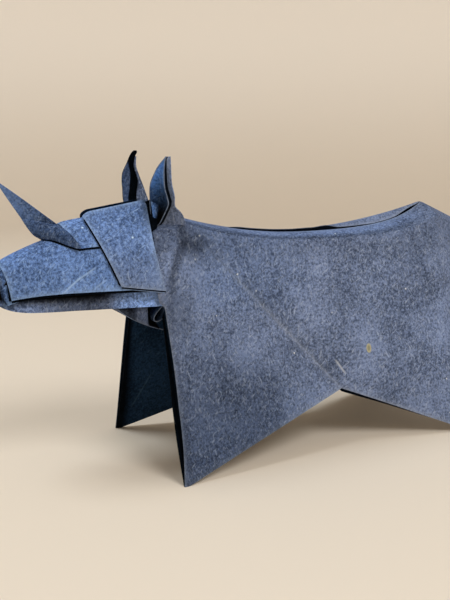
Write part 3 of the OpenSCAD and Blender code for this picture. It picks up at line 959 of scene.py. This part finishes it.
def muzzleAt(s, q):
    w = muzzleHalf(s)
    ridge = curve2(head["noseZ"], head["bridgeZ"] + head["bridgePull"], head["bridgeZ"], s)
    bend = Vector((-head["square"] * w, ridge))
    p = curve2(Vector((-w, muzzleLow(s))), bend, Vector((0, ridge)), q)
    return Vector((muzzleX(s, q), p.x, p.y))


def muzzlePart(x):
    start = noseX + head["lipReach"]
    return (x - start) / (headRearX - start)


def hoodAt(s, q):
    return muzzleAt(s * head["hoodShare"], q)


# painted shadow under the hood's edge
def muzzleFootShadow(s, t):
    back, under, down = head["footShadow"]
    return hoodAt(s, 0) + Vector((back, under, down * t))


# painted shadow along the nose's fold
def noseFoldShadow(s, t):
    back, under, down = head["noseFoldShadow"]
    ahead = -head["noseShadowWidth"] * (1 - s) ** head["noseShadowTaper"]
    return muzzleAt(0, mix(0, head["noseShadowTo"], s)) + Vector((mix(back, ahead, t), under, down))


foldPanel("muzzle", arched(hoodAt), 48, 44, toTop, worn="lbt",
          tone=lambda s, t: mix(head["noseShadeTone"], 1, s), blue=head["blue"])
paintedShadowLine("muzzleFootShadow", muzzleFootShadow, 40, 2, toNear)
paintedShadowLine("noseFoldShadow", noseFoldShadow, 16, 2, toNear)

lip = {
    "part": 0.16,
    "hang": 2,
    "turn": 1,
    "share": 0.86,
    "frontShare": 0.72,
    "sink": 0.25,
    "tipShare": 0.1,
    "tipTurn": 0.6,
    "turnCols": 0.25,
    "tone": 1.1,
    "blue": 0.5,
    # painted shade on the turned-in front of the lip
    "frontShadeTone": 0.25,
    "frontCols": (0.27, 0.38),
    # painted shade in the nose's hollow
    "hollowShadeTone": 0.12,
    "hollowPart": 0.05,
    "hollowShare": 0.93,
    "hollowDeep": Vector((9, 0, 64)),
}


def lipAt(s, q):
    p = muzzleAt(s * lip["part"], q)
    k = 1 - s
    reach = (mix(head["lipReach"], head["lipReach"] / 2, q) - paper["thickness"] / 2) * k
    return Vector((
        p.x - reach,
        p.y * mix(lip["share"], lip["frontShare"], k),
        p.z - lining["press"] - lip["hang"] * (1 - q) * k - lip["sink"] * q))


def lipFolded(s, q):
    if s >= lip["turnCols"]:
        return lipAt((s - lip["turnCols"]) / (1 - lip["turnCols"]), q)
    p = lipAt(0, q)
    tipZ = mix(p.z, (head["noseZ"] + head["lipZ"]) / 2, lip["tipTurn"])
    tip = Vector((p.x + lip["turn"], p.y * lip["tipShare"], tipZ))
    return mix(tip, p, s / lip["turnCols"])


# painted shade at the lip's turned-in front
def lipShadeTone(s, t):
    return lip["tone"] * mix(lip["frontShadeTone"], 1, rampUp(s, *lip["frontCols"]))


def noseHollow(s, q):
    p = muzzleAt(lip["hollowPart"], q)
    mouth = Vector((p.x, p.y * lip["hollowShare"], p.z - lip["sink"]))
    return mix(mouth, Vector((noseX, 0, 0)) + lip["hollowDeep"], s)


foldPanel("noseHollow", arched(noseHollow), 8, 24, toNose, tone=lip["hollowShadeTone"], **darkSide)
foldPanel("lip", arched(lipFolded), 32, 32, toTop, worn="b", tone=lipShadeTone, blue=lip["blue"])

jaw = {
    "seat": 1 / 3,
    "noseRise": 3,
    "noseRound": 14,
    "tipShare": 0.6,
    "taper": 6,
    "reach": 1.5,
    "topShare": 0.82,
    "topTo": 0.88,  # the top stays under the cheek band
    "tone": [(0, 1.1), (0.2, 1.05), (0.36, 0.47), (0.62, 0.42), (0.74, 1.3), (1, 1.6)],  # from the nose
    "shade": [(0, 0.02), (0.40, 0.03), (0.58, 0.6), (0.75, 1), (1, 1)],  # from the muzzle down
    "blue": [(0, 0.2), (0.36, 0), (0.62, 0), (0.74, 0.3), (1, 0.3)],
    "shadeLift": [(0, 0), (0.6, 0), (0.75, 0.3), (1, 0.3)],
}


def jawAt(s, q):
    full = math.sqrt(min(1, s * jaw["taper"]))
    half = (muzzleHalf(s) - head["overhang"]) * mix(jaw["tipShare"], 1, full)
    low = head["jawZ"] + jaw["noseRise"] * (1 - s) ** jaw["noseRound"]
    x = mix(noseX + head["lipReach"] / 2, headRearX + jaw["reach"], s)
    top = muzzleAt(min(s, jaw["topTo"]), jaw["seat"]) + Vector((0, layerLift, -layerLift / 2))
    corners = [
        top, Vector((x, -half * jaw["topShare"], muzzleLow(s) + head["overhang"] / 2)),
        Vector((x, -half, low)), Vector((x, 0, low))]
    k = q * (len(corners) - 1)
    i = min(int(k), len(corners) - 2)
    return mix(corners[i], corners[i + 1], k - i)


# dye tone times painted shadow under the muzzle's edge
def jawShadeTone(s, t):
    down = 6 * min(t, 1 - t) - 1 + along(jaw["shadeLift"], s)  # on the second stretch of each side
    return along(jaw["tone"], s) * along(jaw["shade"], min(max(down, 0), 1))


foldPanel("jaw", arched(jawAt), 40, 60, toFloor, worn="", tone=jawShadeTone, blue=byCol(jaw["blue"]))

brow = {
    "seat": 0.47,
    "rearSeat": 0.42,
    "rear": 0.86,
    "rake": 2.4,
    "z": 83.3,
    "crownZ": 86.5,
    "sink": 0.4,
    "bow": 0.6,
    "square": 0.45,
    "underHorn": 0.53,
    "tone": 0.98,
    "blue": 0.4,
    "slitFrom": 0.05,
    "slitEdges": (0.012, -0.014),  # of the painted shadow under the brow, across the muzzle
    "slitLift": (0, -0.28, 0.15),
}
horn = {
    "z": 97,
    "back": 3,  # from the nose to the tip
    "baseBack": 17.2,
    "baseLength": 9.6,
    "foot": 0.4,
    "tipWidth": 0.5,
    "rearBulge": (0, -1.2, 0.8),
    "open": 1.6,  # the rear edge stands open by this much each side
    "baseBow": 1.9,
    "baseLift": 0.35,
    "slit": 0.75,  # width of the painted shadow strip under the base
    "heel": 1.7,  # the front edge stands this far ahead just over the base
    "heelAt": 0.105,
    "baseHold": 14,  # how soon the horn leaves the line of its base
    "slitTurn": (0, -0.3, -1),
    "slitTaper": 0.7,
    "tone": [(0, 0.31), (0.2, 0.34), (0.45, 0.5), (1, 0.6)],
    "blue": 0.4,
}
browFront = muzzlePart(noseX + horn["baseBack"] + brow["underHorn"] * horn["baseLength"])


def browAt(s, q):
    k = (s - browFront) / (brow["rear"] - browFront)
    low = muzzleAt(s, mix(brow["seat"], brow["rearSeat"], k))
    low = low + Vector((brow["rake"] * (1 - k), -layerLift, layerLift / 2))
    topZ = mix(brow["z"], brow["crownZ"] - brow["sink"], max(k, 0) ** brow["bow"])
    top = Vector((muzzleX(s, 1), 0, topZ))
    bend = Vector(((low.x + top.x) / 2, low.y * brow["square"], top.z - paper["thickness"]))
    return curve2(low, bend, top, q)


foldPanel("brow", arched(lambda s, q: browAt(mix(browFront, brow["rear"], s), q)), 20, 28, toTop,
          worn="lbt", tone=brow["tone"], blue=brow["blue"])

cheek = {
    "front": 28.9,  # from the nose
    "lowFront": 38.4,
    "slit": 3.8,
    "flare": 5.4,
    "rise": 4,
    "bow": 2.4,
    "over": 0.5,
    "hollow": 1.6,
    "rake": 2.5,
    "lift": 1.3,
    "drop": 2,
    "stagger": 0.6,
    "farRise": (0.4, -0.6),  # of the far band, at its front and at its rear
    "cornerRound": 1.1,
    "cornerCols": 0.15,
    "cornerTop": 14,  # how near the top the corner starts to round
    "lap": (0, 0.5, -0.75),  # how far the second layer lies inside and below
    "lapCols": (0.06, 0.98),
    "lapRows": 0.12,
    "lapBlue": 0.3,
    "tone": [(0, 0.74), (0.3, 0.84), (0.5, 0.92), (1, 0.85)],  # from the foot up
    "blue": [(0, 0.14), (0.3, 0.24), (0.55, 0.33), (1, 0.4)],
    "earShade": 0.7,
    "shadeCols": (0.8, 0.99),
    "shadeRows": (0.55, 0.9),
    "shadowLineWidth": 0.75,  # of the painted shadow lines along the edges
    "lineInset": 0.02,
    "frontRows": (0.02, 0.92),
    "frontUnder": 0.4,
    "rearRows": (0.3, 0.97),
    "rearUnder": 0.12,
    "rearWidth": (-0.3, 0.35, 0.85),  # at its foot, over it and at its top
    "rearTurn": 0.12,
    "footRow": 0.01,
    "footUnder": 0.3,
}
cheekTopFront = Vector((noseX + cheek["front"], -cheek["slit"] / 2, brow["crownZ"]))
cheekLowFront = Vector((
    noseX + cheek["lowFront"],
    -muzzleHalf(cheek["lowFront"] / (headRearX - noseX)) - cheek["over"],
    head["lipZ"] + cheek["lift"]))
cheekLowRear = Vector((
    headRearX + paper["thickness"], -head["cheekWidth"] / 2 - cheek["over"], cheekLowFront.z - cheek["drop"]))
cheekTopRear = Vector((
    cheekLowRear.x - cheek["rake"], -(cheek["slit"] + cheek["flare"]) / 2, brow["crownZ"] + cheek["rise"]))
cheekCorners = (cheekLowFront, cheekLowRear, cheekTopFront, cheekTopRear)


def cheekBand(setBack, rise):
    def at(a, b):
        corner = max(0, 1 - a / cheek["cornerCols"]) ** 2 * b ** cheek["cornerTop"]
        back = setBack * (1 - a) * b + corner * cheek["cornerRound"] / 2 - cheek["hollow"] * a * a * swell(b)
        up = mix(*rise, a) * b - cheek["cornerRound"] * corner
        return between(cheekCorners, a, b) + Vector((back, -cheek["bow"] * swell(b), up))
    return at


nearCheek = cheekBand(0, (0, 0))
farCheek = cheekBand(cheek["stagger"], cheek["farRise"])


def cheekTone(a, b):
    shadow = cheek["earShade"] * rampUp(a, *cheek["shadeCols"]) * rampUp(b, *cheek["shadeRows"])
    return along(cheek["tone"], b) * (1 - shadow)


# painted shadows along the cheek band's front, rear and foot
def cheekFrontShadow(s, t):
    edgeAt = nearCheek(cheek["lineInset"], mix(*cheek["frontRows"], s))
    return edgeAt + Vector((-cheek["shadowLineWidth"] * t, cheek["frontUnder"], 0))


def cheekRearShadow(s, t):
    foot, low, top = cheek["rearWidth"]
    width = mix(foot, mix(low, top, s), rampUp(s, 0, cheek["rearTurn"]))
    edgeAt = nearCheek(1 - cheek["lineInset"], mix(*cheek["rearRows"], s))
    return edgeAt + Vector((width * t, cheek["rearUnder"], 0))


def cheekFootShadow(s, t):
    edgeAt = nearCheek(mix(cheek["lineInset"], 1, s), cheek["footRow"])
    return edgeAt + Vector((0, cheek["footUnder"], -cheek["shadowLineWidth"] * t))


def cheekLap(a, b):
    return nearCheek(mix(*cheek["lapCols"], a), b * cheek["lapRows"]) + Vector(cheek["lap"])


cheekLooks = {"tone": cheekTone, "blue": byRow(cheek["blue"])}
foldPanel("cheekNear", nearCheek, 30, 36, toNear, **cheekLooks)
foldPanel("cheekFar", mirrored(farCheek), 30, 36, toFar, hem=reverse, **cheekLooks)
paintedShadowLine("cheekFrontShadow", cheekFrontShadow, 30, 2, toNear)
paintedShadowLine("cheekRearShadow", cheekRearShadow, 30, 2, toNear)
paintedShadowLine("cheekFootShadow", cheekFootShadow, 30, 2, toNear)
onBothSides("cheekLap", cheekLap, 20, 6, toNear, worn="b", blue=cheek["lapBlue"])

hornFrontPart = muzzlePart(noseX + horn["baseBack"])
hornRearPart = muzzlePart(noseX + horn["baseBack"] + horn["baseLength"])
hornTip = Vector((noseX + horn["back"], -lining["press"], horn["z"]))
hornWaist = browAt(browFront, 1) + Vector((0, -lining["press"] - layerLift, -layerLift))


def hornBase(a):
    on = muzzleAt(mix(hornRearPart, hornFrontPart, a), mix(brow["seat"], 1, a ** horn["baseBow"]))
    out = lining["press"] + (layerLift + horn["baseLift"]) * (1 - a)
    return on + Vector((0, -out, horn["baseLift"]))


def hornRear(k):
    if k < horn["foot"]:
        part = k / horn["foot"]
        return mix(hornBase(0), hornWaist, part) + Vector(horn["rearBulge"]) * swell(part)
    part = (k - horn["foot"]) / (1 - horn["foot"])
    tip = hornTip + Vector((horn["tipWidth"], 0, 0))
    return mix(hornWaist, tip, part) - Vector((0, horn["open"] * swell(part), 0))


def hornFront(k):
    heel = horn["heel"] * min(k / horn["heelAt"], (1 - k) / (1 - horn["heelAt"]))
    return mix(hornBase(1), hornTip, k) - Vector((heel, 0, 0))


def hornAt(a, k):
    return mix(mix(hornRear(k), hornFront(k), a), hornBase(a), (1 - k) ** horn["baseHold"])


# painted shadow under the horn's base
def hornSlitShadow(s, t):
    a = 1 - s
    top = hornBase(a) + Vector((0, horn["baseLift"] * (0.5 - a), 0))
    return top + Vector(horn["slitTurn"]) * horn["slit"] * t * math.sqrt(1 - s * horn["slitTaper"])


# painted shadow under the brow's edge
def browSlitShadow(s, t):
    k = mix(brow["slitFrom"], 1, s)
    low = browAt(mix(browFront, brow["rear"], k), 0)
    q = mix(brow["seat"], brow["rearSeat"], k) + mix(*brow["slitEdges"], t)
    part = (low.x - muzzleX(0, q)) / (headRearX - muzzleX(0, q))
    return muzzleAt(part, q) + Vector(brow["slitLift"])


onBothSides("horn", hornAt, 14, 60, toNear, hem=front, worn="", tone=byRow(horn["tone"]), blue=horn["blue"])
paintedShadowLine("hornSlitShadow", hornSlitShadow, 24, 3, toNear)
paintedShadowLine("browSlitShadow", browSlitShadow, 24, 3, toNear)
print("head panels folded")


# ears: the near one is a cup with a second leaf behind it, the far one shows its dark inside and a hem

ears = {
    "z": 106.2,  # tip of the far ear, the higher one
    "step": 1.6,
    "spread": 23,
    "bow": 1.8,
    "stagger": 2.8,
    "lean": 1.6,
    "footOut": 7.8,  # from the middle of the neck
    "footDrop": 2.5,
    "footBack": 0.6,
    "tipBack": 3.3,
}
nearEar = {
    "turn": 34,
    "cup": 3,
    "cupRound": 1.6,
    "cupSeat": 0.15,
    "fullWidth": 6.9,
    "gap": 3.2,
    "gapEnd": 4,  # how late the gap behind the cup closes towards the tip
    "slit": 0.5,
    "slitSeat": 0.5,
    "slitDepth": 0.6,  # at least
    # painted shade in the gap between the cup and the leaf
    "slitShadeTone": 0.15,
    "leafWidth": 0.3,  # at least
    "leafTurn": 0.75,
    "front": [  # height, place across
        (0, -1.2), (0.1, -1.7), (0.39, -2.3), (0.61, -2.9), (0.77, -2.45), (0.86, -2.05), (0.96, -1.1),
        (1, -0.7)],
    "rear": [
        (0, 0.2), (0.05, 1.2), (0.19, 2.9), (0.32, 4.0), (0.44, 3.25), (0.55, 2.2), (0.71, 1.1), (0.96, -0.6),
        (1, -0.5)],
    "leaf": [
        (0, 9.2), (0.13, 8.6), (0.2, 7.6), (0.25, 6.3), (0.3, 5.7), (0.4, 5.6), (0.49, 5.0), (0.61, 3.9),
        (0.78, 2.7), (0.96, 1.2), (1, 0.8)],
    "pocket": [  # corners: height, place across, depth
        (0.12, -1.2, 0.5), (0.10, 0.1, 0.9), (0.36, -2.0, 0.4), (0.29, 1.0, 1.2)],
    # a dark sheet of painted shade fills the gap between the cheek band and the ear's foot
    "hollowCheek": [(0.97, 0.5, 1), (0.97, 0.97, 0.8)],  # place on the cheek band, depth under it
    "hollowEar": [(0.02, 0, 1.2), (0.38, -2.6, 1.2)],
    "hollowShadeTone": 0.1,
    # painted shade deep in the cup, near black at its foot
    "tone": [(0, 0.005), (0.2, 0.01), (0.36, 0.1), (0.5, 0.2), (0.7, 0.5), (0.85, 0.6), (1, 0.55)],
    "leafTone": [(0, 0.64), (0.2, 0.74), (0.32, 0.84), (0.5, 0.95), (1, 0.95)],
    "leafBlue": [(0, 0), (0.25, 0), (0.5, 0.12), (1, 0.12)],
    # painted light on the pocket patch, brightest in its middle
    "patchTone": 0.82,
    "patchBlue": 0.75,
    "patchCols": (0.2, 1),
    "patchRows": (0.15, 0.9),
    "patchEnds": 0.3,
}
farEar = {
    "turn": 14,
    "cup": 0.6,
    "backTone": 0.8,
    "inside": 0.1,
    # the dark reverse, darkened further as painted shade inside the far ear's cup
    "insideShadeTone": 0.1,
    "front": [
        (0, -2.6), (0.3, -2.7), (0.47, -2.15), (0.6, -2.3), (0.7, -2.2), (0.82, -1.2), (0.94, -0.8),
        (0.98, -0.4), (1, 0.1)],
    "rear": [
        (0, 7.5), (0.31, 7.3), (0.5, 6.2), (0.66, 4.2), (0.77, 2.6), (0.88, 1.6), (0.94, 1.2), (0.98, 1.35),
        (1, 0.8)],
    "hem": [(0, -1.8), (0.32, -0.9), (0.47, 0.4), (0.65, 0.8), (0.7, 0.5), (0.84, -1.2)],
    "hemLap": 0.1,
    "hemTone": 0.36,
    "hemBlue": 0.3,
    "flap": [(0, 2.1), (0.35, 2.7), (0.49, 3.9), (0.59, 4.1), (0.69, 2.9), (0.79, 1.7), (0.92, 1.1)],
    "flapFrom": 0.05,
    "flapLap": 0.15,
    "flapLift": (0.6, 0.4),  # at its front and at its rear
    "flapTone": 0.85,
    "least": 0.1,  # width of a hem or a flap at its end
}
earFoot = Vector((
    headRearX + ears["footBack"], -ears["footOut"], body["withersZ"] - ears["footDrop"]))
earTip = Vector((headRearX + ears["tipBack"], -ears["spread"] / 2, ears["z"] - ears["step"]))


def earPoint(k, across, depth, turn, ahead):
    tip = earTip + Vector((-ears["stagger"], 0, ears["step"])) * ahead
    bow = (ears["bow"] + ahead * ears["lean"]) * swell(k)
    angle = math.radians(turn)
    x = across * math.cos(angle) + depth * math.sin(angle) - bow
    return mix(earFoot, tip, k) + Vector((x, depth * math.cos(angle) - across * math.sin(angle), 0))


def nearPoint(k, across, depth):
    return earPoint(k, across, depth, nearEar["turn"], 0)


def nearCup(s, k):
    ahead, behind = along(nearEar["front"], k), along(nearEar["rear"], k)
    bulge = 1 - abs(2 * s - 1) ** nearEar["cupRound"]
    depth = nearEar["cup"] * bulge * (behind - ahead) / nearEar["fullWidth"]
    return nearPoint(k, mix(ahead, behind, s), nearEar["cupSeat"] + depth)


def nearBehind(k):
    return nearEar["gap"] * (1 - k ** nearEar["gapEnd"])


def nearInner(s, k):
    rimAt = along(nearEar["rear"], k)
    depth = mix(nearEar["slitSeat"], max(nearEar["slitDepth"], nearBehind(k)), s)
    return nearPoint(k, mix(rimAt, rimAt + nearEar["slit"], s), depth)


def nearOuter(s, k):
    rimAt = along(nearEar["rear"], k) + nearEar["slit"]
    leafAt = max(rimAt + nearEar["leafWidth"], along(nearEar["leaf"], k))
    return nearPoint(k, mix(rimAt, leafAt, s), nearBehind(k) * mix(1, nearEar["leafTurn"], s))


def nearPocket(s, k):
    return between([nearPoint(*corner) for corner in nearEar["pocket"]], s, k)


def pocketLitTone(s, k):
    lit = mix(nearEar["patchEnds"], 1, swell(mix(*nearEar["patchRows"], k)))
    return nearEar["patchTone"] * (1 - rampUp(s, *nearEar["patchCols"])) * lit


# painted shade between the cheek band and the ear
def nearHollowShade(s, t):
    corners = []
    for (a, b, depth), ear in zip(nearEar["hollowCheek"], nearEar["hollowEar"]):
        corners += [nearCheek(a, b) + Vector((0, depth, 0)), nearPoint(*ear)]
    return between(corners, s, t)


def farPoint(k, across, depth):
    return farSide(earPoint(k, across, depth, farEar["turn"], 1))


def farCup(s, k, depth=0):
    across = mix(along(farEar["front"], k), along(farEar["rear"], k), s)
    return farPoint(k, across, depth - farEar["cup"] * swell(s))


def farInside(s, k):
    return farCup(s, k, farEar["inside"])


def farHem(s, k):
    up = k * farEar["hem"][-1][0]
    start = along(farEar["front"], up) - farEar["hemLap"]
    stop = max(start + farEar["least"], along(farEar["hem"], up))
    return farPoint(up, mix(start, stop, s), layerLift)


def farFlap(s, k):
    up = mix(farEar["flapFrom"], farEar["flap"][-1][0], k)
    start = along(farEar["flap"], up)
    stop = max(start + farEar["least"], along(farEar["rear"], up) + farEar["flapLap"])
    return farPoint(up, mix(start, stop, s), mix(*farEar["flapLift"], s))


foldPanel("earNearCup", nearCup, 20, 44, toNear, worn="r", tone=byRow(nearEar["tone"]), blue=1)
foldPanel("earNearInner", nearInner, 6, 36, toNear, tone=nearEar["slitShadeTone"], **darkSide)
foldPanel("earNearOuter", nearOuter, 8, 36, toNear, back=front, hem=front, worn="l",
          tone=byRow(nearEar["leafTone"]), blue=byRow(nearEar["leafBlue"]))
foldPanel("earNearPocket", nearPocket, 12, 16, toNear, hem=front, worn="",
          tone=pocketLitTone, blue=nearEar["patchBlue"])
foldPanel("earNearHollowShade", nearHollowShade, 8, 16, toNear, tone=nearEar["hollowShadeTone"], **darkSide)
foldPanel("earFarCup", farCup, 18, 60, toFar, hem=reverse, tone=farEar["backTone"])
foldPanel("earFarInside", farInside, 18, 60, toNear, tone=farEar["insideShadeTone"], **darkSide)
foldPanel("earFarHem", farHem, 8, 48, toNear, hem=front, worn="",
          tone=farEar["hemTone"], blue=farEar["hemBlue"])
foldPanel("earFarFlap", farFlap, 8, 48, toNear, back=front, hem=front, worn="", tone=farEar["flapTone"])

nape = {
    "rise": 0.6,
    "reach": 1,
    "taper": 0.7,
    "lift": 1,
    "saddle": 3.4,
    "back": 1,
    "tongue": 1 / 3,  # share of the length under the cheek bands
    # painted shade on the nape
    "tone": 0.45,
}
napeTongue = Vector((neckTuck.x - nape["reach"], neckTuck.y * nape["taper"], neckTuck.z + nape["lift"]))
napeSaddle = Vector((withersX + nape["back"], -nape["saddle"] / 2, body["withersZ"] - lining["press"]))


def napeAt(s, t):
    k = nape["tongue"]
    p = mix(napeTongue, neckTuck, s / k) if s < k else mix(neckTuck, napeSaddle, (s - k) / (1 - k))
    return Vector((p.x, mix(p.y, -p.y, t), p.z + nape["rise"] * swell(t)))


foldPanel("nape", napeAt, 24, 20, toTop, tone=nape["tone"])

throat = {
    "start": 39,  # from the nose
    "drop": 8.6,
    "width": 21,
    "slingLap": 1,
    "slingStart": 0.3,
    "slingBow": 0.6,
    # painted shade under the jaw
    "slingTone": 0.5,
    "back": 1.2,
    "wallTo": 0.93,
    "wallLap": 0.5,
    "wallFolds": [(0, 0.4), (0.46, 1.7), (0.52, 0.2), (0.72, 0.1), (0.76, 6), (0.93, 7)],  # place, depth
    "curlAt": 0.945,
    "curlWidth": 2.3,
    "curlDrop": 5.4,
    "curlLean": 1.3,
    "curlReach": 0.45,  # share of the width
    # painted shade in the curl
    "curlTone": 0.2,
    "curlBlue": 0.5,
    # painted shade on the wall, near black in its deep fold
    "tone": [(0, 0.1), (0.45, 0.11), (0.56, 0.33), (0.75, 0.36), (0.8, 0.01), (1, 0.01)],
}
throatX = noseX + throat["start"]
throatRearX = headRearX + throat["back"]
throatSeat = head["jawZ"] - layerLift


def throatPoint(path, t):
    return Vector((path[0], mix(-throat["width"] / 2, throat["width"] / 2, t), path[1]))


def slingAt(s, t):
    span = throatRearX - throatX
    start = Vector((throatX - throat["slingLap"], throatSeat))
    bend = Vector((throatX + span * throat["slingStart"], throatSeat - throat["drop"] * throat["slingBow"]))
    stop = Vector((throatRearX, head["jawZ"] - throat["drop"]))
    return throatPoint(curve2(start, bend, stop, s), t)


def throatWall(s, t):
    part = s * throat["wallTo"]
    low = slingAt(part, 0)
    high = Vector((low.x, low.y, head["jawZ"] + throat["wallLap"]))
    return mix(low, high, t) + Vector((0, angled(throat["wallFolds"], part) * math.sqrt(t), 0))


def throatCurl(s, t):
    turn = 2 * math.pi * s
    bulge = throat["curlWidth"] * math.sin(turn) * abs(math.sin(turn / 2))
    x = mix(throatX, throatRearX, throat["curlAt"]) - bulge + throat["curlLean"] * math.cos(turn)
    z = throatSeat - throat["curlDrop"] * (1 - math.cos(turn)) / 2
    return throatPoint((x, z), t * throat["curlReach"])


foldPanel("throatSling", slingAt, 24, 10, toFloor, tone=throat["slingTone"])
onBothSides("throatWall", throatWall, 60, 10, toNear, worn="b", hem=front, tone=byCol(throat["tone"]))
onBothSides("throatCurl", throatCurl, 40, 8, toFloor, back=front, worn="b",
            tone=throat["curlTone"], blue=throat["curlBlue"])
print("ears, nape and throat folded,", len(panels), "panels")


# all panels are one sheet, cut level where the leg points stand on the floor

bpy.ops.object.select_all(action='DESELECT')
for panel in panels:
    panel.select_set(True)
bpy.context.view_layer.objects.active = panels[0]
bpy.ops.object.join()
sheet = bpy.context.object
sheet.name = "folded_sheet"
bpy.ops.object.mode_set(mode='EDIT')
bpy.ops.mesh.select_all(action='SELECT')
bpy.ops.mesh.bisect(plane_co=(0, 0, 0), plane_no=(0, 0, 1), use_fill=True, clear_inner=True, threshold=1e-6)
bpy.ops.object.mode_set(mode='OBJECT')
bpy.ops.object.shade_smooth_by_angle(angle=math.radians(paper["smoothBelow"]))
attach(sheet, "root")
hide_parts("folded_rhinoceros")
print("sheet joined,", sum(len(f.vertices) - 2 for f in sheet.data.polygons), "triangles")


# studio: a pale floor that curves up all round

studio = {
    "radius": 0.85,
    "curve": 0.3,
    "wall": 0.7,
    "steps": 8,
    "sides": 96,
    "smoothBelow": 60,
    "tone": (0.75, 0.655, 0.54),
    # painted light: the backdrop pales as it curves up
    "wallLightTone": (0.97, 0.90, 0.81),
    "roughness": 0.85,
    "sheen": 0.1,
    "sky": (1.0, 0.93, 0.86, 1),
    "skyStrength": 0.36,
}
bpy.ops.object.select_all(action='DESELECT')
bpy.ops.mesh.primitive_circle_add(vertices=studio["sides"], radius=studio["radius"], fill_type='NGON')
backdrop = bpy.context.object
backdrop.name = "studioFloor"
bpy.ops.object.mode_set(mode='EDIT')
bpy.ops.mesh.select_all(action='SELECT')
bpy.ops.mesh.region_to_loop()
reach, height = studio["radius"], 0
for i in range(1, studio["steps"] + 2):
    angle = min(i, studio["steps"]) / studio["steps"] * math.pi / 2
    newReach = studio["radius"] + studio["curve"] * math.sin(angle)
    newHeight = studio["curve"] * (1 - math.cos(angle)) + (studio["wall"] if i > studio["steps"] else 0)
    bpy.ops.mesh.extrude_region_move(TRANSFORM_OT_translate={"value": (0, 0, newHeight - height)})
    bpy.ops.transform.resize(value=(newReach / reach, newReach / reach, 1))
    reach, height = newReach, newHeight
bpy.ops.object.mode_set(mode='OBJECT')
bpy.ops.object.shade_smooth_by_angle(angle=math.radians(studio["smoothBelow"]))
floorPaint = bpy.data.materials.new("paleFloor")
floorPaint.use_nodes = True
floorTree = floorPaint.node_tree
floorSurface = floorTree.nodes["Principled BSDF"].inputs
floorPlace = addNode(floorTree, "SeparateXYZ", (-700, 200))
feed(floorTree, floorPlace.inputs["Vector"], addNode(floorTree, "TexCoord", (-900, 200)).outputs["Object"])
# painted light, paler up the wall
floorRise = maskBetween(floorTree, floorPlace.outputs["Z"], 0, studio["curve"], (-500, 200))
floorColour = blendColour(floorTree, floorRise, studio["tone"], studio["wallLightTone"], (-300, 200))
feed(floorTree, floorSurface["Base Color"], floorColour)
floorSurface["Roughness"].default_value = studio["roughness"]
floorSurface["Specular IOR Level"].default_value = studio["sheen"]
backdrop.data.materials.append(floorPaint)

lights = [  # place, target, size, power, colour
    ((-0.42, 0.20, 0.95), (0.0, 0.0, 0.04), 0.45, 4.5, (0.82, 0.92, 1.0)),
    ((0.14, -0.72, 0.86), (0.0, 0.0, 0.06), 0.5, 5.4, (0.96, 0.98, 1.0)),
]
for place, target, size, power, tint in lights:
    bpy.ops.object.light_add(type='AREA', location=place)
    lamp = bpy.context.object
    lamp.rotation_euler = (Vector(target) - Vector(place)).to_track_quat('-Z', 'Y').to_euler()
    lamp.data.shape = 'DISK'
    lamp.data.size = size
    lamp.data.energy = power
    lamp.data.color = tint
world = bpy.data.worlds.new("studioSky")
world.use_nodes = True
sky = world.node_tree.nodes["Background"].inputs
sky["Color"].default_value = studio["sky"]
sky["Strength"].default_value = studio["skyStrength"]
bpy.context.scene.world = world
bpy.context.scene.view_settings.view_transform = 'Standard'

view = {
    "place": (-148.7, -267.8, 109.15),
    "target": (-11.64, 0, 53.23),
    "lens": 51,
    "near": 0.01,  # metres
}
bpy.ops.object.camera_add(location=Vector(view["place"]) * mm)
camera = bpy.context.object
camera.rotation_euler = (Vector(view["target"]) - Vector(view["place"])).to_track_quat('-Z', 'Y').to_euler()
camera.data.lens = view["lens"]
camera.data.clip_start = view["near"]
bpy.context.scene.camera = camera
print("studio, lights and camera placed")
